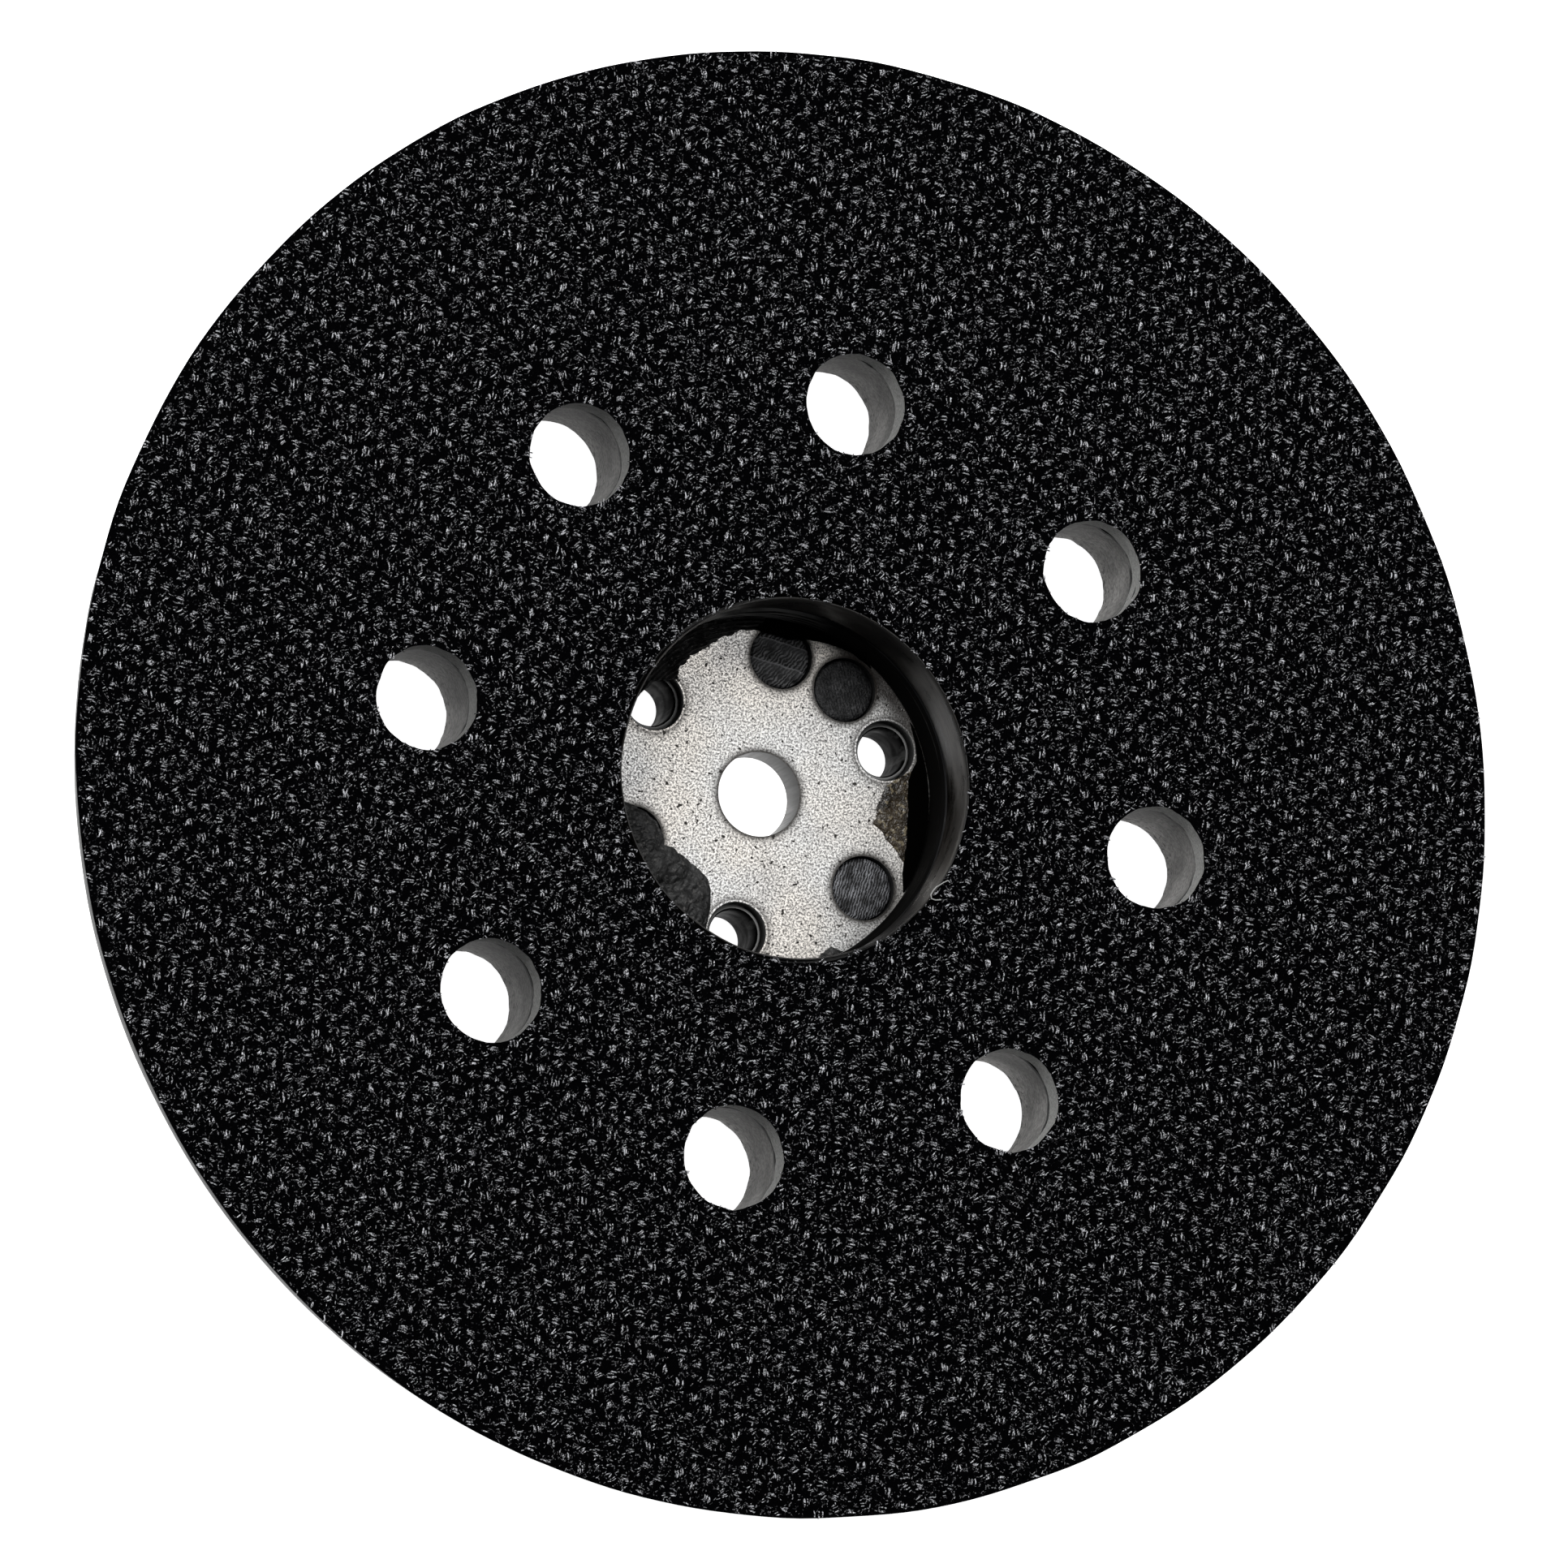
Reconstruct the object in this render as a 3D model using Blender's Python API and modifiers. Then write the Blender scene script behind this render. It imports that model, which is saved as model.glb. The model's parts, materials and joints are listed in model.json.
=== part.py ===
"""Backing pad of a 125 mm random-orbit sander: eight dust holes, hook face up, mounting hub down.

The origin is the centre of the hub's back face, +Z runs out of the hook face, and a dust hole lies on +X.
"""
import math

import bpy

# Driving dimensions, in metres
PAD_RADIUS = 0.0620
DUST_HOLES = 8
DUST_PITCH_RADIUS = 0.0325
DUST_RADIUS = 0.0045
RECESS_RADIUS = 0.0153  # clear radius of the well in the middle
BORE_RADIUS = 0.0036
SCREW_PITCH_RADIUS = 0.0120
SCREW_ANGLES = (30, 150, 270)
SCREW_HOLE_RADIUS = 0.0026
SCREW_CLEAR_RADIUS = 0.00205  # inside the sleeve, for an M4 screw
PLUG_ANGLES = (60, 90, 210, 240, 330)  # holes of the other screw patterns, filled
PLUG_HOLE_RADIUS = 0.00275

# Heights above the hub's back face
HOOK_TOP = 0.0164
HOOK_THICKNESS = 0.0013
BACKING_THICKNESS = 0.0011
PARTING_DEPTH = 0.0060  # the well's wall changes piece this far below the hook face
FOAM_BACK = 0.00635
PLATE_TOP = 0.0063
PLATE_THICKNESS = 0.0035
FLANGE_THICKNESS = 0.0020

# Parts that the other dimensions leave free
FOAM_BACK_RADIUS = 0.0568  # the rim tapers in towards the back
HUB_RADIUS = 0.0210
FLANGE_RADIUS = 0.0265
SPINDLE_POCKET_RADIUS = 0.0085
PLATE_RADIUS = 0.0170
COLLAR_WALL = 0.0021
SLEEVE_SINK = 0.0010  # below the plate's face
PLUG_SINK = 0.0003

GAP = 0.0003  # between neighbouring pieces
SLIP = 0.00015  # round a sleeve or a plug in its hole
BREAK = 0.0006  # broken edge on a moulding
OVERRUN = 0.0050  # how far a cutter sticks out of what it cuts

RIM_SEGMENTS = 72
HUB_SEGMENTS = 48
HOLE_SEGMENTS = 24
SMALL_SEGMENTS = 20

# Heights that follow from them
HOOK_UNDERSIDE = HOOK_TOP - HOOK_THICKNESS
BACKING_TOP = HOOK_UNDERSIDE - GAP
BACKING_UNDERSIDE = BACKING_TOP - BACKING_THICKNESS
FOAM_TOP = BACKING_UNDERSIDE - GAP
COLLAR_UNDERSIDE = HOOK_TOP - PARTING_DEPTH
BOSS_TOP = COLLAR_UNDERSIDE - GAP
BOSS_RADIUS = RECESS_RADIUS - 0.0002
WALL_RADIUS = RECESS_RADIUS + COLLAR_WALL
PLATE_UNDERSIDE = PLATE_TOP - PLATE_THICKNESS
FLANGE_TOP = FOAM_BACK + FLANGE_THICKNESS

COLOURS = {  # colour, roughness, metallic
    "hook_fabric": ((0.012, 0.012, 0.013), 0.85, 0.0),
    "backing": ((0.10, 0.10, 0.10), 0.90, 0.0),
    "foam": ((0.26, 0.26, 0.25), 0.80, 0.0),
    "moulding": ((0.010, 0.010, 0.011), 0.35, 0.0),
    "steel": ((0.60, 0.59, 0.57), 0.45, 1.0),
    "filler": ((0.030, 0.030, 0.032), 0.70, 0.0),
}


def clear_scene():
    for obj in list(bpy.data.objects):
        bpy.data.objects.remove(obj, do_unlink=True)


def new_collection(name, hidden=False):
    collection = bpy.data.collections.new(name)
    bpy.context.scene.collection.children.link(collection)
    collection.hide_render = hidden
    return collection


def finish(name):
    """The material of one finish, made once."""
    found = bpy.data.materials.get(name)
    if found:
        return found
    colour, roughness, metallic = COLOURS[name]
    material = bpy.data.materials.new(name)
    material.use_nodes = True
    shader = material.node_tree.nodes["Principled BSDF"]
    shader.inputs["Base Color"].default_value = (*colour, 1.0)
    shader.inputs["Roughness"].default_value = roughness
    shader.inputs["Metallic"].default_value = metallic
    return material


def own_finish(obj, name):
    """Each piece gets a copy of its finish, so that one piece can be changed alone."""
    material = finish(name).copy()
    material.name = f"{obj.name}_{name}"
    obj.data.materials.append(material)


def turned(name, profile, segments, colour):
    """A ring: the closed profile of (radius, height), down its outer side first, turned about Z."""
    mesh = bpy.data.meshes.new(name)
    points = [(radius, 0.0, height) for radius, height in profile]
    edges = [(i, (i + 1) % len(points)) for i in range(len(points))]
    mesh.from_pydata(points, edges, [])
    obj = bpy.data.objects.new(name, mesh)
    parts.objects.link(obj)
    screw = obj.modifiers.new("turn", "SCREW")
    screw.axis = "Z"
    screw.steps = segments
    screw.render_steps = segments
    screw.use_merge_vertices = True
    screw.merge_threshold = 0.00001
    own_finish(obj, colour)
    return obj


def flat_ring(name, outer, inner, top, underside, segments, colour):
    profile = [(outer, top), (outer, underside), (inner, underside), (inner, top)]
    return turned(name, profile, segments, colour)


def cylinder(name, radius, low, high, place, segments, collection):
    """An upright cylinder whose ends are at the two heights."""
    x, y = place
    bpy.ops.mesh.primitive_cylinder_add(
        vertices=segments, radius=radius, depth=high - low, location=(x, y, (low + high) / 2)
    )
    obj = bpy.context.object
    obj.name = name
    obj.data.name = name
    for old in list(obj.users_collection):
        old.objects.unlink(obj)
    collection.objects.link(obj)
    return obj


def on_circle(radius, degrees):
    turn = math.radians(degrees)
    return radius * math.cos(turn), radius * math.sin(turn)


def drills(name, radius, low, high, places, segments):
    """A hidden collection of cutters, one for each place."""
    collection = new_collection(name, hidden=True)
    for number, place in enumerate(places, start=1):
        cutter = cylinder(f"{name}_{number}", radius, low, high, place, segments, collection)
        cutter.hide_render = True
        cutter.display_type = "WIRE"
    return collection


def drill(obj, cutters):
    cut = obj.modifiers.new(cutters.name, "BOOLEAN")
    cut.operation = "DIFFERENCE"
    cut.operand_type = "COLLECTION"
    cut.collection = cutters
    cut.solver = "EXACT"


def soften_edges(obj, width, segments=2):
    bevel = obj.modifiers.new("broken edge", "BEVEL")
    bevel.width = width
    bevel.segments = segments
    bevel.limit_method = "ANGLE"
    bevel.angle_limit = math.radians(50)


def settle_meshes():
    """Every piece's modifiers become its mesh, with the round walls smooth and the corners sharp."""
    graph = bpy.context.evaluated_depsgraph_get()
    made = {obj: bpy.data.meshes.new_from_object(obj.evaluated_get(graph)) for obj in parts.objects}
    for obj, mesh in made.items():
        obj.modifiers.clear()
        obj.data = mesh
        mesh.name = obj.name
        mesh.shade_smooth()
        mesh.set_sharp_from_angle(angle=math.radians(35))


def hook_sheet(dust_drills):
    """The hooked fabric that grips the abrasive disc, with its edge over the well's collar."""
    sheet = flat_ring(
        "hook_sheet", PAD_RADIUS, RECESS_RADIUS + 0.0001,
        HOOK_TOP, HOOK_UNDERSIDE, RIM_SEGMENTS, "hook_fabric",
    )
    drill(sheet, dust_drills)


def hook_backing(dust_drills):
    """The layer that the fabric is laminated to before it is glued on the foam."""
    backing = flat_ring(
        "hook_backing", PAD_RADIUS - 0.0001, WALL_RADIUS + GAP,
        BACKING_TOP, BACKING_UNDERSIDE, RIM_SEGMENTS, "backing",
    )
    drill(backing, dust_drills)


def foam_cushion(dust_drills):
    """The moulded foam, thinner towards its rim, with a seat for the hub's flange in its back."""
    rim_land = 0.0008
    back_round = 0.0007
    profile = [
        (PAD_RADIUS - 0.0003, FOAM_TOP),
        (PAD_RADIUS - 0.0003, FOAM_TOP - rim_land),
        (FOAM_BACK_RADIUS, FOAM_BACK + back_round),
        (FOAM_BACK_RADIUS - back_round, FOAM_BACK),
        (FLANGE_RADIUS + GAP, FOAM_BACK),
        (FLANGE_RADIUS + GAP, FLANGE_TOP + GAP),
        (WALL_RADIUS + GAP, FLANGE_TOP + GAP),
        (WALL_RADIUS + GAP, FOAM_TOP),
    ]
    drill(turned("foam_cushion", profile, RIM_SEGMENTS, "foam"), dust_drills)


def recess_collar():
    """The upper part of the well's black wall."""
    flat_ring(
        "recess_collar", WALL_RADIUS, RECESS_RADIUS,
        BACKING_TOP, COLLAR_UNDERSIDE, HUB_SEGMENTS, "moulding",
    )


def drive_hub(screw_drills):
    """The stiff moulding that grips the steel plate and carries the face that the machine's spindle meets."""
    pocket_radius = PLATE_RADIUS + GAP
    profile = [
        (WALL_RADIUS, BOSS_TOP),
        (WALL_RADIUS, FLANGE_TOP),
        (FLANGE_RADIUS - BREAK, FLANGE_TOP),
        (FLANGE_RADIUS, FLANGE_TOP - BREAK),
        (FLANGE_RADIUS, FOAM_BACK),
        (HUB_RADIUS + BREAK, FOAM_BACK),
        (HUB_RADIUS, FOAM_BACK - BREAK),
        (HUB_RADIUS, BREAK),
        (HUB_RADIUS - BREAK, 0.0),
        (SPINDLE_POCKET_RADIUS + BREAK, 0.0),
        (SPINDLE_POCKET_RADIUS, BREAK),
        (SPINDLE_POCKET_RADIUS, PLATE_UNDERSIDE - GAP),
        (pocket_radius, PLATE_UNDERSIDE - GAP),
        (pocket_radius, PLATE_TOP + GAP),
        (BOSS_RADIUS, PLATE_TOP + GAP),
        (BOSS_RADIUS, BOSS_TOP),
    ]
    drill(turned("drive_hub", profile, HUB_SEGMENTS, "moulding"), screw_drills)


def centre_plate(screw_drills, plug_drills):
    """The steel plate that the screws pull against, trapped in the hub."""
    plate = flat_ring(
        "centre_plate", PLATE_RADIUS, BORE_RADIUS,
        PLATE_TOP, PLATE_UNDERSIDE, HUB_SEGMENTS, "steel",
    )
    drill(plate, screw_drills)
    drill(plate, plug_drills)


def screw_sleeves():
    """Black liners of the three screw holes, from the hub's back face to just below the plate's face."""
    top = PLATE_TOP - SLEEVE_SINK
    bores = drills(
        "sleeve_bores", SCREW_CLEAR_RADIUS, -OVERRUN, top + OVERRUN,
        [on_circle(SCREW_PITCH_RADIUS, angle) for angle in SCREW_ANGLES], SMALL_SEGMENTS,
    )
    for number, angle in enumerate(SCREW_ANGLES, start=1):
        sleeve = cylinder(
            f"screw_sleeve_{number}", SCREW_HOLE_RADIUS - SLIP, 0.0, top,
            on_circle(SCREW_PITCH_RADIUS, angle), SMALL_SEGMENTS, parts,
        )
        own_finish(sleeve, "moulding")
        drill(sleeve, bores)


def filler_plugs():
    """The plugs that close the holes of the screw patterns that this pad doesn't use."""
    for number, angle in enumerate(PLUG_ANGLES, start=1):
        plug = cylinder(
            f"filler_plug_{number}", PLUG_HOLE_RADIUS - SLIP, PLATE_UNDERSIDE, PLATE_TOP - PLUG_SINK,
            on_circle(SCREW_PITCH_RADIUS, angle), SMALL_SEGMENTS, parts,
        )
        own_finish(plug, "filler")
        soften_edges(plug, 0.00015, segments=1)


clear_scene()
parts = new_collection("sander_backing_pad")
dust = drills(
    "dust_holes", DUST_RADIUS, FOAM_BACK - OVERRUN, HOOK_TOP + OVERRUN,
    [on_circle(DUST_PITCH_RADIUS, 360 / DUST_HOLES * number) for number in range(DUST_HOLES)], HOLE_SEGMENTS,
)
screws = drills(
    "screw_holes", SCREW_HOLE_RADIUS, -OVERRUN, PLATE_TOP + OVERRUN,
    [on_circle(SCREW_PITCH_RADIUS, angle) for angle in SCREW_ANGLES], SMALL_SEGMENTS,
)
plugs = drills(
    "plug_holes", PLUG_HOLE_RADIUS, PLATE_UNDERSIDE - OVERRUN, PLATE_TOP + OVERRUN,
    [on_circle(SCREW_PITCH_RADIUS, angle) for angle in PLUG_ANGLES], SMALL_SEGMENTS,
)
hook_sheet(dust)
hook_backing(dust)
foam_cushion(dust)
recess_collar()
drive_hub(screws)
centre_plate(screws, plugs)
screw_sleeves()
filler_plugs()
settle_meshes()
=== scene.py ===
import json
import math

import bmesh
import bpy
import numpy as np
from mathutils import Matrix, Vector, noise


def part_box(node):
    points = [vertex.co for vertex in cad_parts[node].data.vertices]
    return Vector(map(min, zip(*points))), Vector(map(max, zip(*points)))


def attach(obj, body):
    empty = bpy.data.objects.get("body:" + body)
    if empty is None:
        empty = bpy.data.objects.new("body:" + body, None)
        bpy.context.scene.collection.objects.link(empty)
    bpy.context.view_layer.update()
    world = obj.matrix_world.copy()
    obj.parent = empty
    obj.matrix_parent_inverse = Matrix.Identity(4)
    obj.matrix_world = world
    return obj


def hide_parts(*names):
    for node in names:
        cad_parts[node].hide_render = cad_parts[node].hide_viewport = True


mm = 0.001
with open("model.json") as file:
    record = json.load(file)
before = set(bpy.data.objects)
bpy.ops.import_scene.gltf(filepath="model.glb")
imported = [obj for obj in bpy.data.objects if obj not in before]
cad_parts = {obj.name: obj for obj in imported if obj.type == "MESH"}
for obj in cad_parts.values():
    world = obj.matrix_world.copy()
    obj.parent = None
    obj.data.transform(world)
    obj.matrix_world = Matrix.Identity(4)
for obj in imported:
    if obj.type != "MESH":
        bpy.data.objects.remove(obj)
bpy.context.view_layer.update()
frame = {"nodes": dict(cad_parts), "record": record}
print("frame loaded:", len(frame["nodes"]), "nodes")


# what the frame says about the pad

# the node's inner radius, outer radius, low and high
def ringOf(node):
    mesh = frame["nodes"][node].data
    points = np.empty(len(mesh.vertices) * 3, np.float32)
    mesh.vertices.foreach_get("co", points)
    points = points.reshape(-1, 3)
    radii = np.hypot(points[:, 0], points[:, 1])
    return [float(v) for v in (radii.min(), radii.max(), points[:, 2].min(), points[:, 2].max())]


def centreOf(node):
    low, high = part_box(node)
    return Vector([(a + b) / 2 for a, b in zip(low, high)])


def openingCentre(opening):
    low, high = opening["box_m"]
    return Vector(((low[0] + high[0]) / 2, (low[1] + high[1]) / 2, 0))


sheetIn, padRadius, sheetLow, hookTop = ringOf("hook_sheet")
backingIn, backingOut, backingLow, backingHigh = ringOf("hook_backing")
foamIn, foamOut, foamLow, foamHigh = ringOf("foam_cushion")
collarIn, collarOut, collarLow = ringOf("recess_collar")[:3]
hubHigh = ringOf("drive_hub")[3]
boreRadius, plateOut, plateLow, plateHigh = ringOf("centre_plate")
openings = frame["record"]["physics"]["openings"]
dustHoles = [openingCentre(o) for o in openings if o["name"].startswith("dust")]
dustRadius = 4.5 * mm
dustPitch = dustHoles[0].length  # from the axis to each dust hole
screwHoles = [centreOf(f"screw_sleeve_{n}") for n in (1, 2, 3)]
screwRadius = 2.6 * mm
plugHoles = [centreOf(f"filler_plug_{n}") for n in (1, 2, 3, 4, 5)]
plugRadius = 2.75 * mm
bossIn = collarIn - 0.2 * mm  # the hub's wall stands a little inside the collar's


# short helpers for node trees

def put(tree, kind, **settings):
    node = tree.nodes.new(kind)
    for key, value in settings.items():
        setattr(node, key, value)
    return node


# links a socket, or sets a plain value on the input itself
def feed(tree, socket, value):
    if isinstance(value, bpy.types.NodeSocket):
        tree.links.new(value, socket)
    elif value is not None:
        socket.default_value = value


# feeds a node's inputs by name or number
def feedAll(tree, node, values):
    for key, value in values.items():
        feed(tree, node.inputs[key], value)
    return node.outputs


def calc(tree, operation, a, b=None, c=None):
    return feedAll(tree, put(tree, "ShaderNodeMath", operation=operation), {0: a, 1: b, 2: c})[0]


def product(tree, first, *others):
    for other in others:
        first = calc(tree, "MULTIPLY", first, other)
    return first


def vectorCalc(tree, operation, a, b=None):
    outputs = feedAll(tree, put(tree, "ShaderNodeVectorMath", operation=operation), {0: a, 1: b})
    return outputs["Value"] if operation in ("LENGTH", "DISTANCE", "DOT_PRODUCT") else outputs[0]


def scaled(tree, vector, factor):
    node = put(tree, "ShaderNodeVectorMath", operation="SCALE")
    return feedAll(tree, node, {0: vector, "Scale": factor})[0]


def stretched(tree, vector, x, y, z):
    return vectorCalc(tree, "MULTIPLY", vector, (x, y, z))


def splitXyz(tree, vector):
    return feedAll(tree, put(tree, "ShaderNodeSeparateXYZ"), {0: vector})


def makeXyz(tree, x=0.0, y=0.0, z=0.0):
    return feedAll(tree, put(tree, "ShaderNodeCombineXYZ"), {0: x, 1: y, 2: z})[0]


def remap(tree, value, low, high, toLow=0.0, toHigh=1.0):
    node = put(tree, "ShaderNodeMapRange", clamp=True)
    return feedAll(tree, node, {0: value, 1: low, 2: high, 3: toLow, 4: toHigh})[0]


def blendColour(tree, factor, a, b):
    node = put(tree, "ShaderNodeMix", data_type="RGBA")
    feed(tree, node.inputs[0], factor)
    for socket, value in zip(node.inputs[6:8], (a, b)):  # its two colour inputs
        feed(tree, socket, (*value, 1.0) if isinstance(value, tuple) else value)
    return node.outputs[2]


# from one colour to the other as the value goes from low to high
def between(tree, value, low, high, a, b):
    return blendColour(tree, remap(tree, value, low, high), a, b)


def noiseAt(tree, vector, scale, detail=2.0, roughness=0.5, distortion=0.0):
    return feedAll(tree, put(tree, "ShaderNodeTexNoise"), {
        "Vector": vector, "Scale": scale, "Detail": detail, "Roughness": roughness, "Distortion": distortion,
    })[0]


# noise whose blotches are about this many metres across
def speckle(tree, vector, size, detail=2.0, roughness=0.5, distortion=0.0):
    return noiseAt(tree, vector, 0.5 / size, detail, roughness, distortion)


def bump(tree, height, distance, strength=1.0):
    node = put(tree, "ShaderNodeBump")
    return feedAll(tree, node, {"Height": height, "Distance": distance, "Strength": strength})[0]


def newGroup(name, inputs, outputs):
    group = bpy.data.node_groups.new(name, "ShaderNodeTree")
    for direction, sockets in (("INPUT", inputs), ("OUTPUT", outputs)):
        for label, kind in sockets.items():
            group.interface.new_socket(name=label, in_out=direction, socket_type="NodeSocket" + kind)
    return group, put(group, "NodeGroupInput").outputs, put(group, "NodeGroupOutput").inputs


# effects that several finishes share

# sharp little grains: a height and a mask of dark pits
def makeGrit():
    group, given, result = newGroup(
        "grit", {"Vector": "Vector", "Grain": "Float", "Pit Share": "Float"},
        {"Height": "Float", "Pits": "Float"},
    )
    grained = scaled(group, given["Vector"], calc(group, "DIVIDE", 1.0, given["Grain"]))
    fine = noiseAt(group, grained, 0.5, 1.5, 0.7)
    pits = noiseAt(group, vectorCalc(group, "ADD", grained, (31.7, 5.3, 11.9)), 0.33, 1.0)
    edge = calc(group, "SUBTRACT", 1.0, given["Pit Share"])
    feed(group, result["Height"], remap(group, fine, 0.3, 0.7))
    feed(group, result["Pits"], remap(group, pits, edge, calc(group, "ADD", edge, 0.05)))
    return group


# fine tool lines that run round the pad's axis: a height that changes with radius and level
def makeRingLines():
    group, given, result = newGroup(
        "ringLines", {"Vector": "Vector", "Pitch": "Float", "Wobble": "Float"}, {"Height": "Float"},
    )
    parts = splitXyz(group, given["Vector"])
    radius = vectorCalc(group, "LENGTH", stretched(group, given["Vector"], 1, 1, 0))
    length = calc(group, "MULTIPLY", given["Pitch"], 40)
    along = makeXyz(
        group, calc(group, "DIVIDE", parts[0], length), calc(group, "DIVIDE", parts[1], length),
        calc(group, "DIVIDE", calc(group, "SUBTRACT", parts[2], radius), given["Pitch"]),
    )
    feed(group, result["Height"], noiseAt(group, along, 1.0, distortion=given["Wobble"]))
    return group


grit = makeGrit()
ringLines = makeRingLines()


def gritAt(tree, place, grain, pitShare):
    node = put(tree, "ShaderNodeGroup", node_tree=grit)
    return feedAll(tree, node, {"Vector": place, "Grain": grain, "Pit Share": pitShare})


def linesAt(tree, place, pitch, wobble):
    node = put(tree, "ShaderNodeGroup", node_tree=ringLines)
    return feedAll(tree, node, {"Vector": place, "Pitch": pitch, "Wobble": wobble})["Height"]


def levelOf(tree, place):
    return splitXyz(tree, place)[2]


# how far a point lies towards a bearing, from 0 to 1
def towards(tree, place, bearing, low, high):
    turn = math.radians(bearing)
    return remap(tree, vectorCalc(tree, "DOT_PRODUCT", place, (math.cos(turn), math.sin(turn), 0)), low, high)


# painted shade on the dust holes' walls: the walls of the holes towards -x, which get less direct light, are
# painted darker, down to 0.6 of their colour
def paintedHoleShade(tree, place):
    return calc(tree, "MULTIPLY_ADD", towards(tree, place, 0, -30 * mm, 25 * mm), 0.45, 0.60)


# the finishes: each recipe gives the shader's values from the place on the piece and a look

shaderInputs = {
    "colour": "Base Color", "roughness": "Roughness", "metallic": "Metallic", "gloss": "Specular IOR Level",
    "normal": "Normal",
}


def newMaterial(name):
    material = bpy.data.materials.new(name)
    material.use_nodes = True
    return material, material.node_tree, material.node_tree.nodes["Principled BSDF"]


def newFinish(name, recipe, look):
    material, tree, shader = newMaterial(name)
    place = put(tree, "ShaderNodeTexCoord").outputs["Object"]
    for key, value in recipe(tree, place, look).items():
        feed(tree, shader.inputs[shaderInputs[key]], value)
    return material


# pale is the colour of the glints painted on the crowns of the hooks and the fuzz
hookLook = {
    "cool": (0.0016, 0.0018, 0.0030), "warm": (0.0045, 0.0036, 0.0036), "pale": (0.90, 0.90, 0.94),
    "crestDepth": 0.38 * mm, "spot": 0.075 * mm, "spotFrom": 0.46, "spotEdge": 0.07,
    "toneFrom": -1.2, "gloss": 0.3,
}
fuzzLook = {
    **hookLook, "pale": (0.62, 0.62, 0.65), "crestDepth": 0.50 * mm, "spot": 0.07 * mm, "spotFrom": 0.48,
    "toneFrom": -0.2, "gloss": 0.2,
}


# black nylon with painted glints: pale spots painted near the crowns, stronger on copies of higher tone; each
# copy has its own tone
def nylon(tree, place, look):
    tone = put(tree, "ShaderNodeAttribute", attribute_name="tone").outputs["Fac"]
    crest = remap(tree, levelOf(tree, place), hookTop - look["crestDepth"], hookTop - 0.05 * mm)
    # painted glints: pale spots near the crowns
    glintSpots = speckle(tree, place, look["spot"], detail=1.5)
    glintSpots = remap(tree, glintSpots, look["spotFrom"], look["spotFrom"] + look["spotEdge"])
    glints = product(tree, glintSpots, crest, remap(tree, tone, look["toneFrom"], 1.0))
    black = blendColour(tree, tone, look["cool"], look["warm"])
    return {
        "colour": blendColour(tree, glints, black, look["pale"]),
        "roughness": remap(tree, tone, 0.0, 1.0, 0.16, 0.34), "gloss": look["gloss"],
    }


groundLook = {
    "dark": (0.0012, 0.0012, 0.0015), "glint": (0.055, 0.055, 0.060), "cell": 0.30 * mm, "fuzz": 0.10 * mm,
    "relief": 0.12 * mm,
}


# the black woven ground between the hooks
def groundCloth(tree, place, look):
    weave = put(tree, "ShaderNodeTexVoronoi")
    weave = feedAll(tree, weave, {"Vector": place, "Scale": 1 / look["cell"]})["Distance"]
    fuzz = speckle(tree, place, look["fuzz"])
    glint = product(tree, remap(tree, fuzz, 0.60, 0.72), remap(tree, weave, 0.45, 0.2))
    height = calc(tree, "ADD", fuzz, calc(tree, "MULTIPLY", weave, -0.8))
    return {
        "colour": blendColour(tree, glint, look["dark"], look["glint"]), "roughness": 0.7, "gloss": 0.0,
        "normal": bump(tree, height, look["relief"]),
    }


laminateLook = {
    "dark": (0.14, 0.14, 0.135), "pale": (0.52, 0.52, 0.505), "fibre": 0.12 * mm, "relief": 0.12 * mm,
}


def paleLaminate(tree, place, look):
    fibres = speckle(tree, stretched(tree, place, 1, 1, 3), look["fibre"], 4, 0.65)
    shade = between(tree, fibres, 0.3, 0.7, look["dark"], look["pale"])
    # painted shade: dust-hole walls towards -x are darker
    return {
        "colour": scaled(tree, shade, paintedHoleShade(tree, place)), "roughness": 0.95,
        "normal": bump(tree, fibres, look["relief"], 0.8),
    }


foamLook = {
    "dark": (0.10, 0.097, 0.093), "pale": (0.20, 0.195, 0.188), "slitShade": (0.002, 0.002, 0.002),
    "pit": (0.012, 0.011, 0.010), "grain": 0.15 * mm, "pitShare": 0.40, "cloud": 1.6 * mm, "tool": 0.6 * mm,
    "relief": 0.07 * mm,
}


# foam where it is cut: most pitted near its back, with a broken band of painted shade under the laminate,
# where the slit between the laminate and the foam lies
def cutFoam(tree, place, look):
    level = levelOf(tree, place)
    nearBack = remap(tree, level, foamLow + 3.0 * mm, foamLow + 0.3 * mm)
    grains = gritAt(tree, place, look["grain"], look["pitShare"])
    base = between(tree, speckle(tree, place, look["cloud"]), 0.35, 0.65, look["dark"], look["pale"])
    # painted shade: dust-hole walls towards -x are darker
    base = scaled(tree, base, paintedHoleShade(tree, place))
    base = scaled(tree, base, remap(tree, grains["Height"], 0.2, 0.8, 0.70, 1.20))
    # painted shade of the slit between the laminate and the foam, broken here and there
    slitShade = remap(tree, level, foamHigh - 0.46 * mm, foamHigh - 0.32 * mm)
    slitShade = product(tree, slitShade, remap(tree, speckle(tree, place, 2.0 * mm), 0.40, 0.50))
    base = blendColour(tree, slitShade, base, look["slitShade"])
    pitted = product(tree, grains["Pits"], calc(tree, "MULTIPLY_ADD", nearBack, 0.80, 0.20))
    tool = speckle(tree, stretched(tree, place, 0.25, 0.25, 5), look["tool"])
    height = calc(tree, "SUBTRACT", calc(tree, "MULTIPLY_ADD", tool, 0.6, grains["Height"]), pitted)
    return {
        "colour": blendColour(tree, pitted, base, look["pit"]), "roughness": 0.72,
        "normal": bump(tree, height, look["relief"], 0.7),
    }


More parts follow.
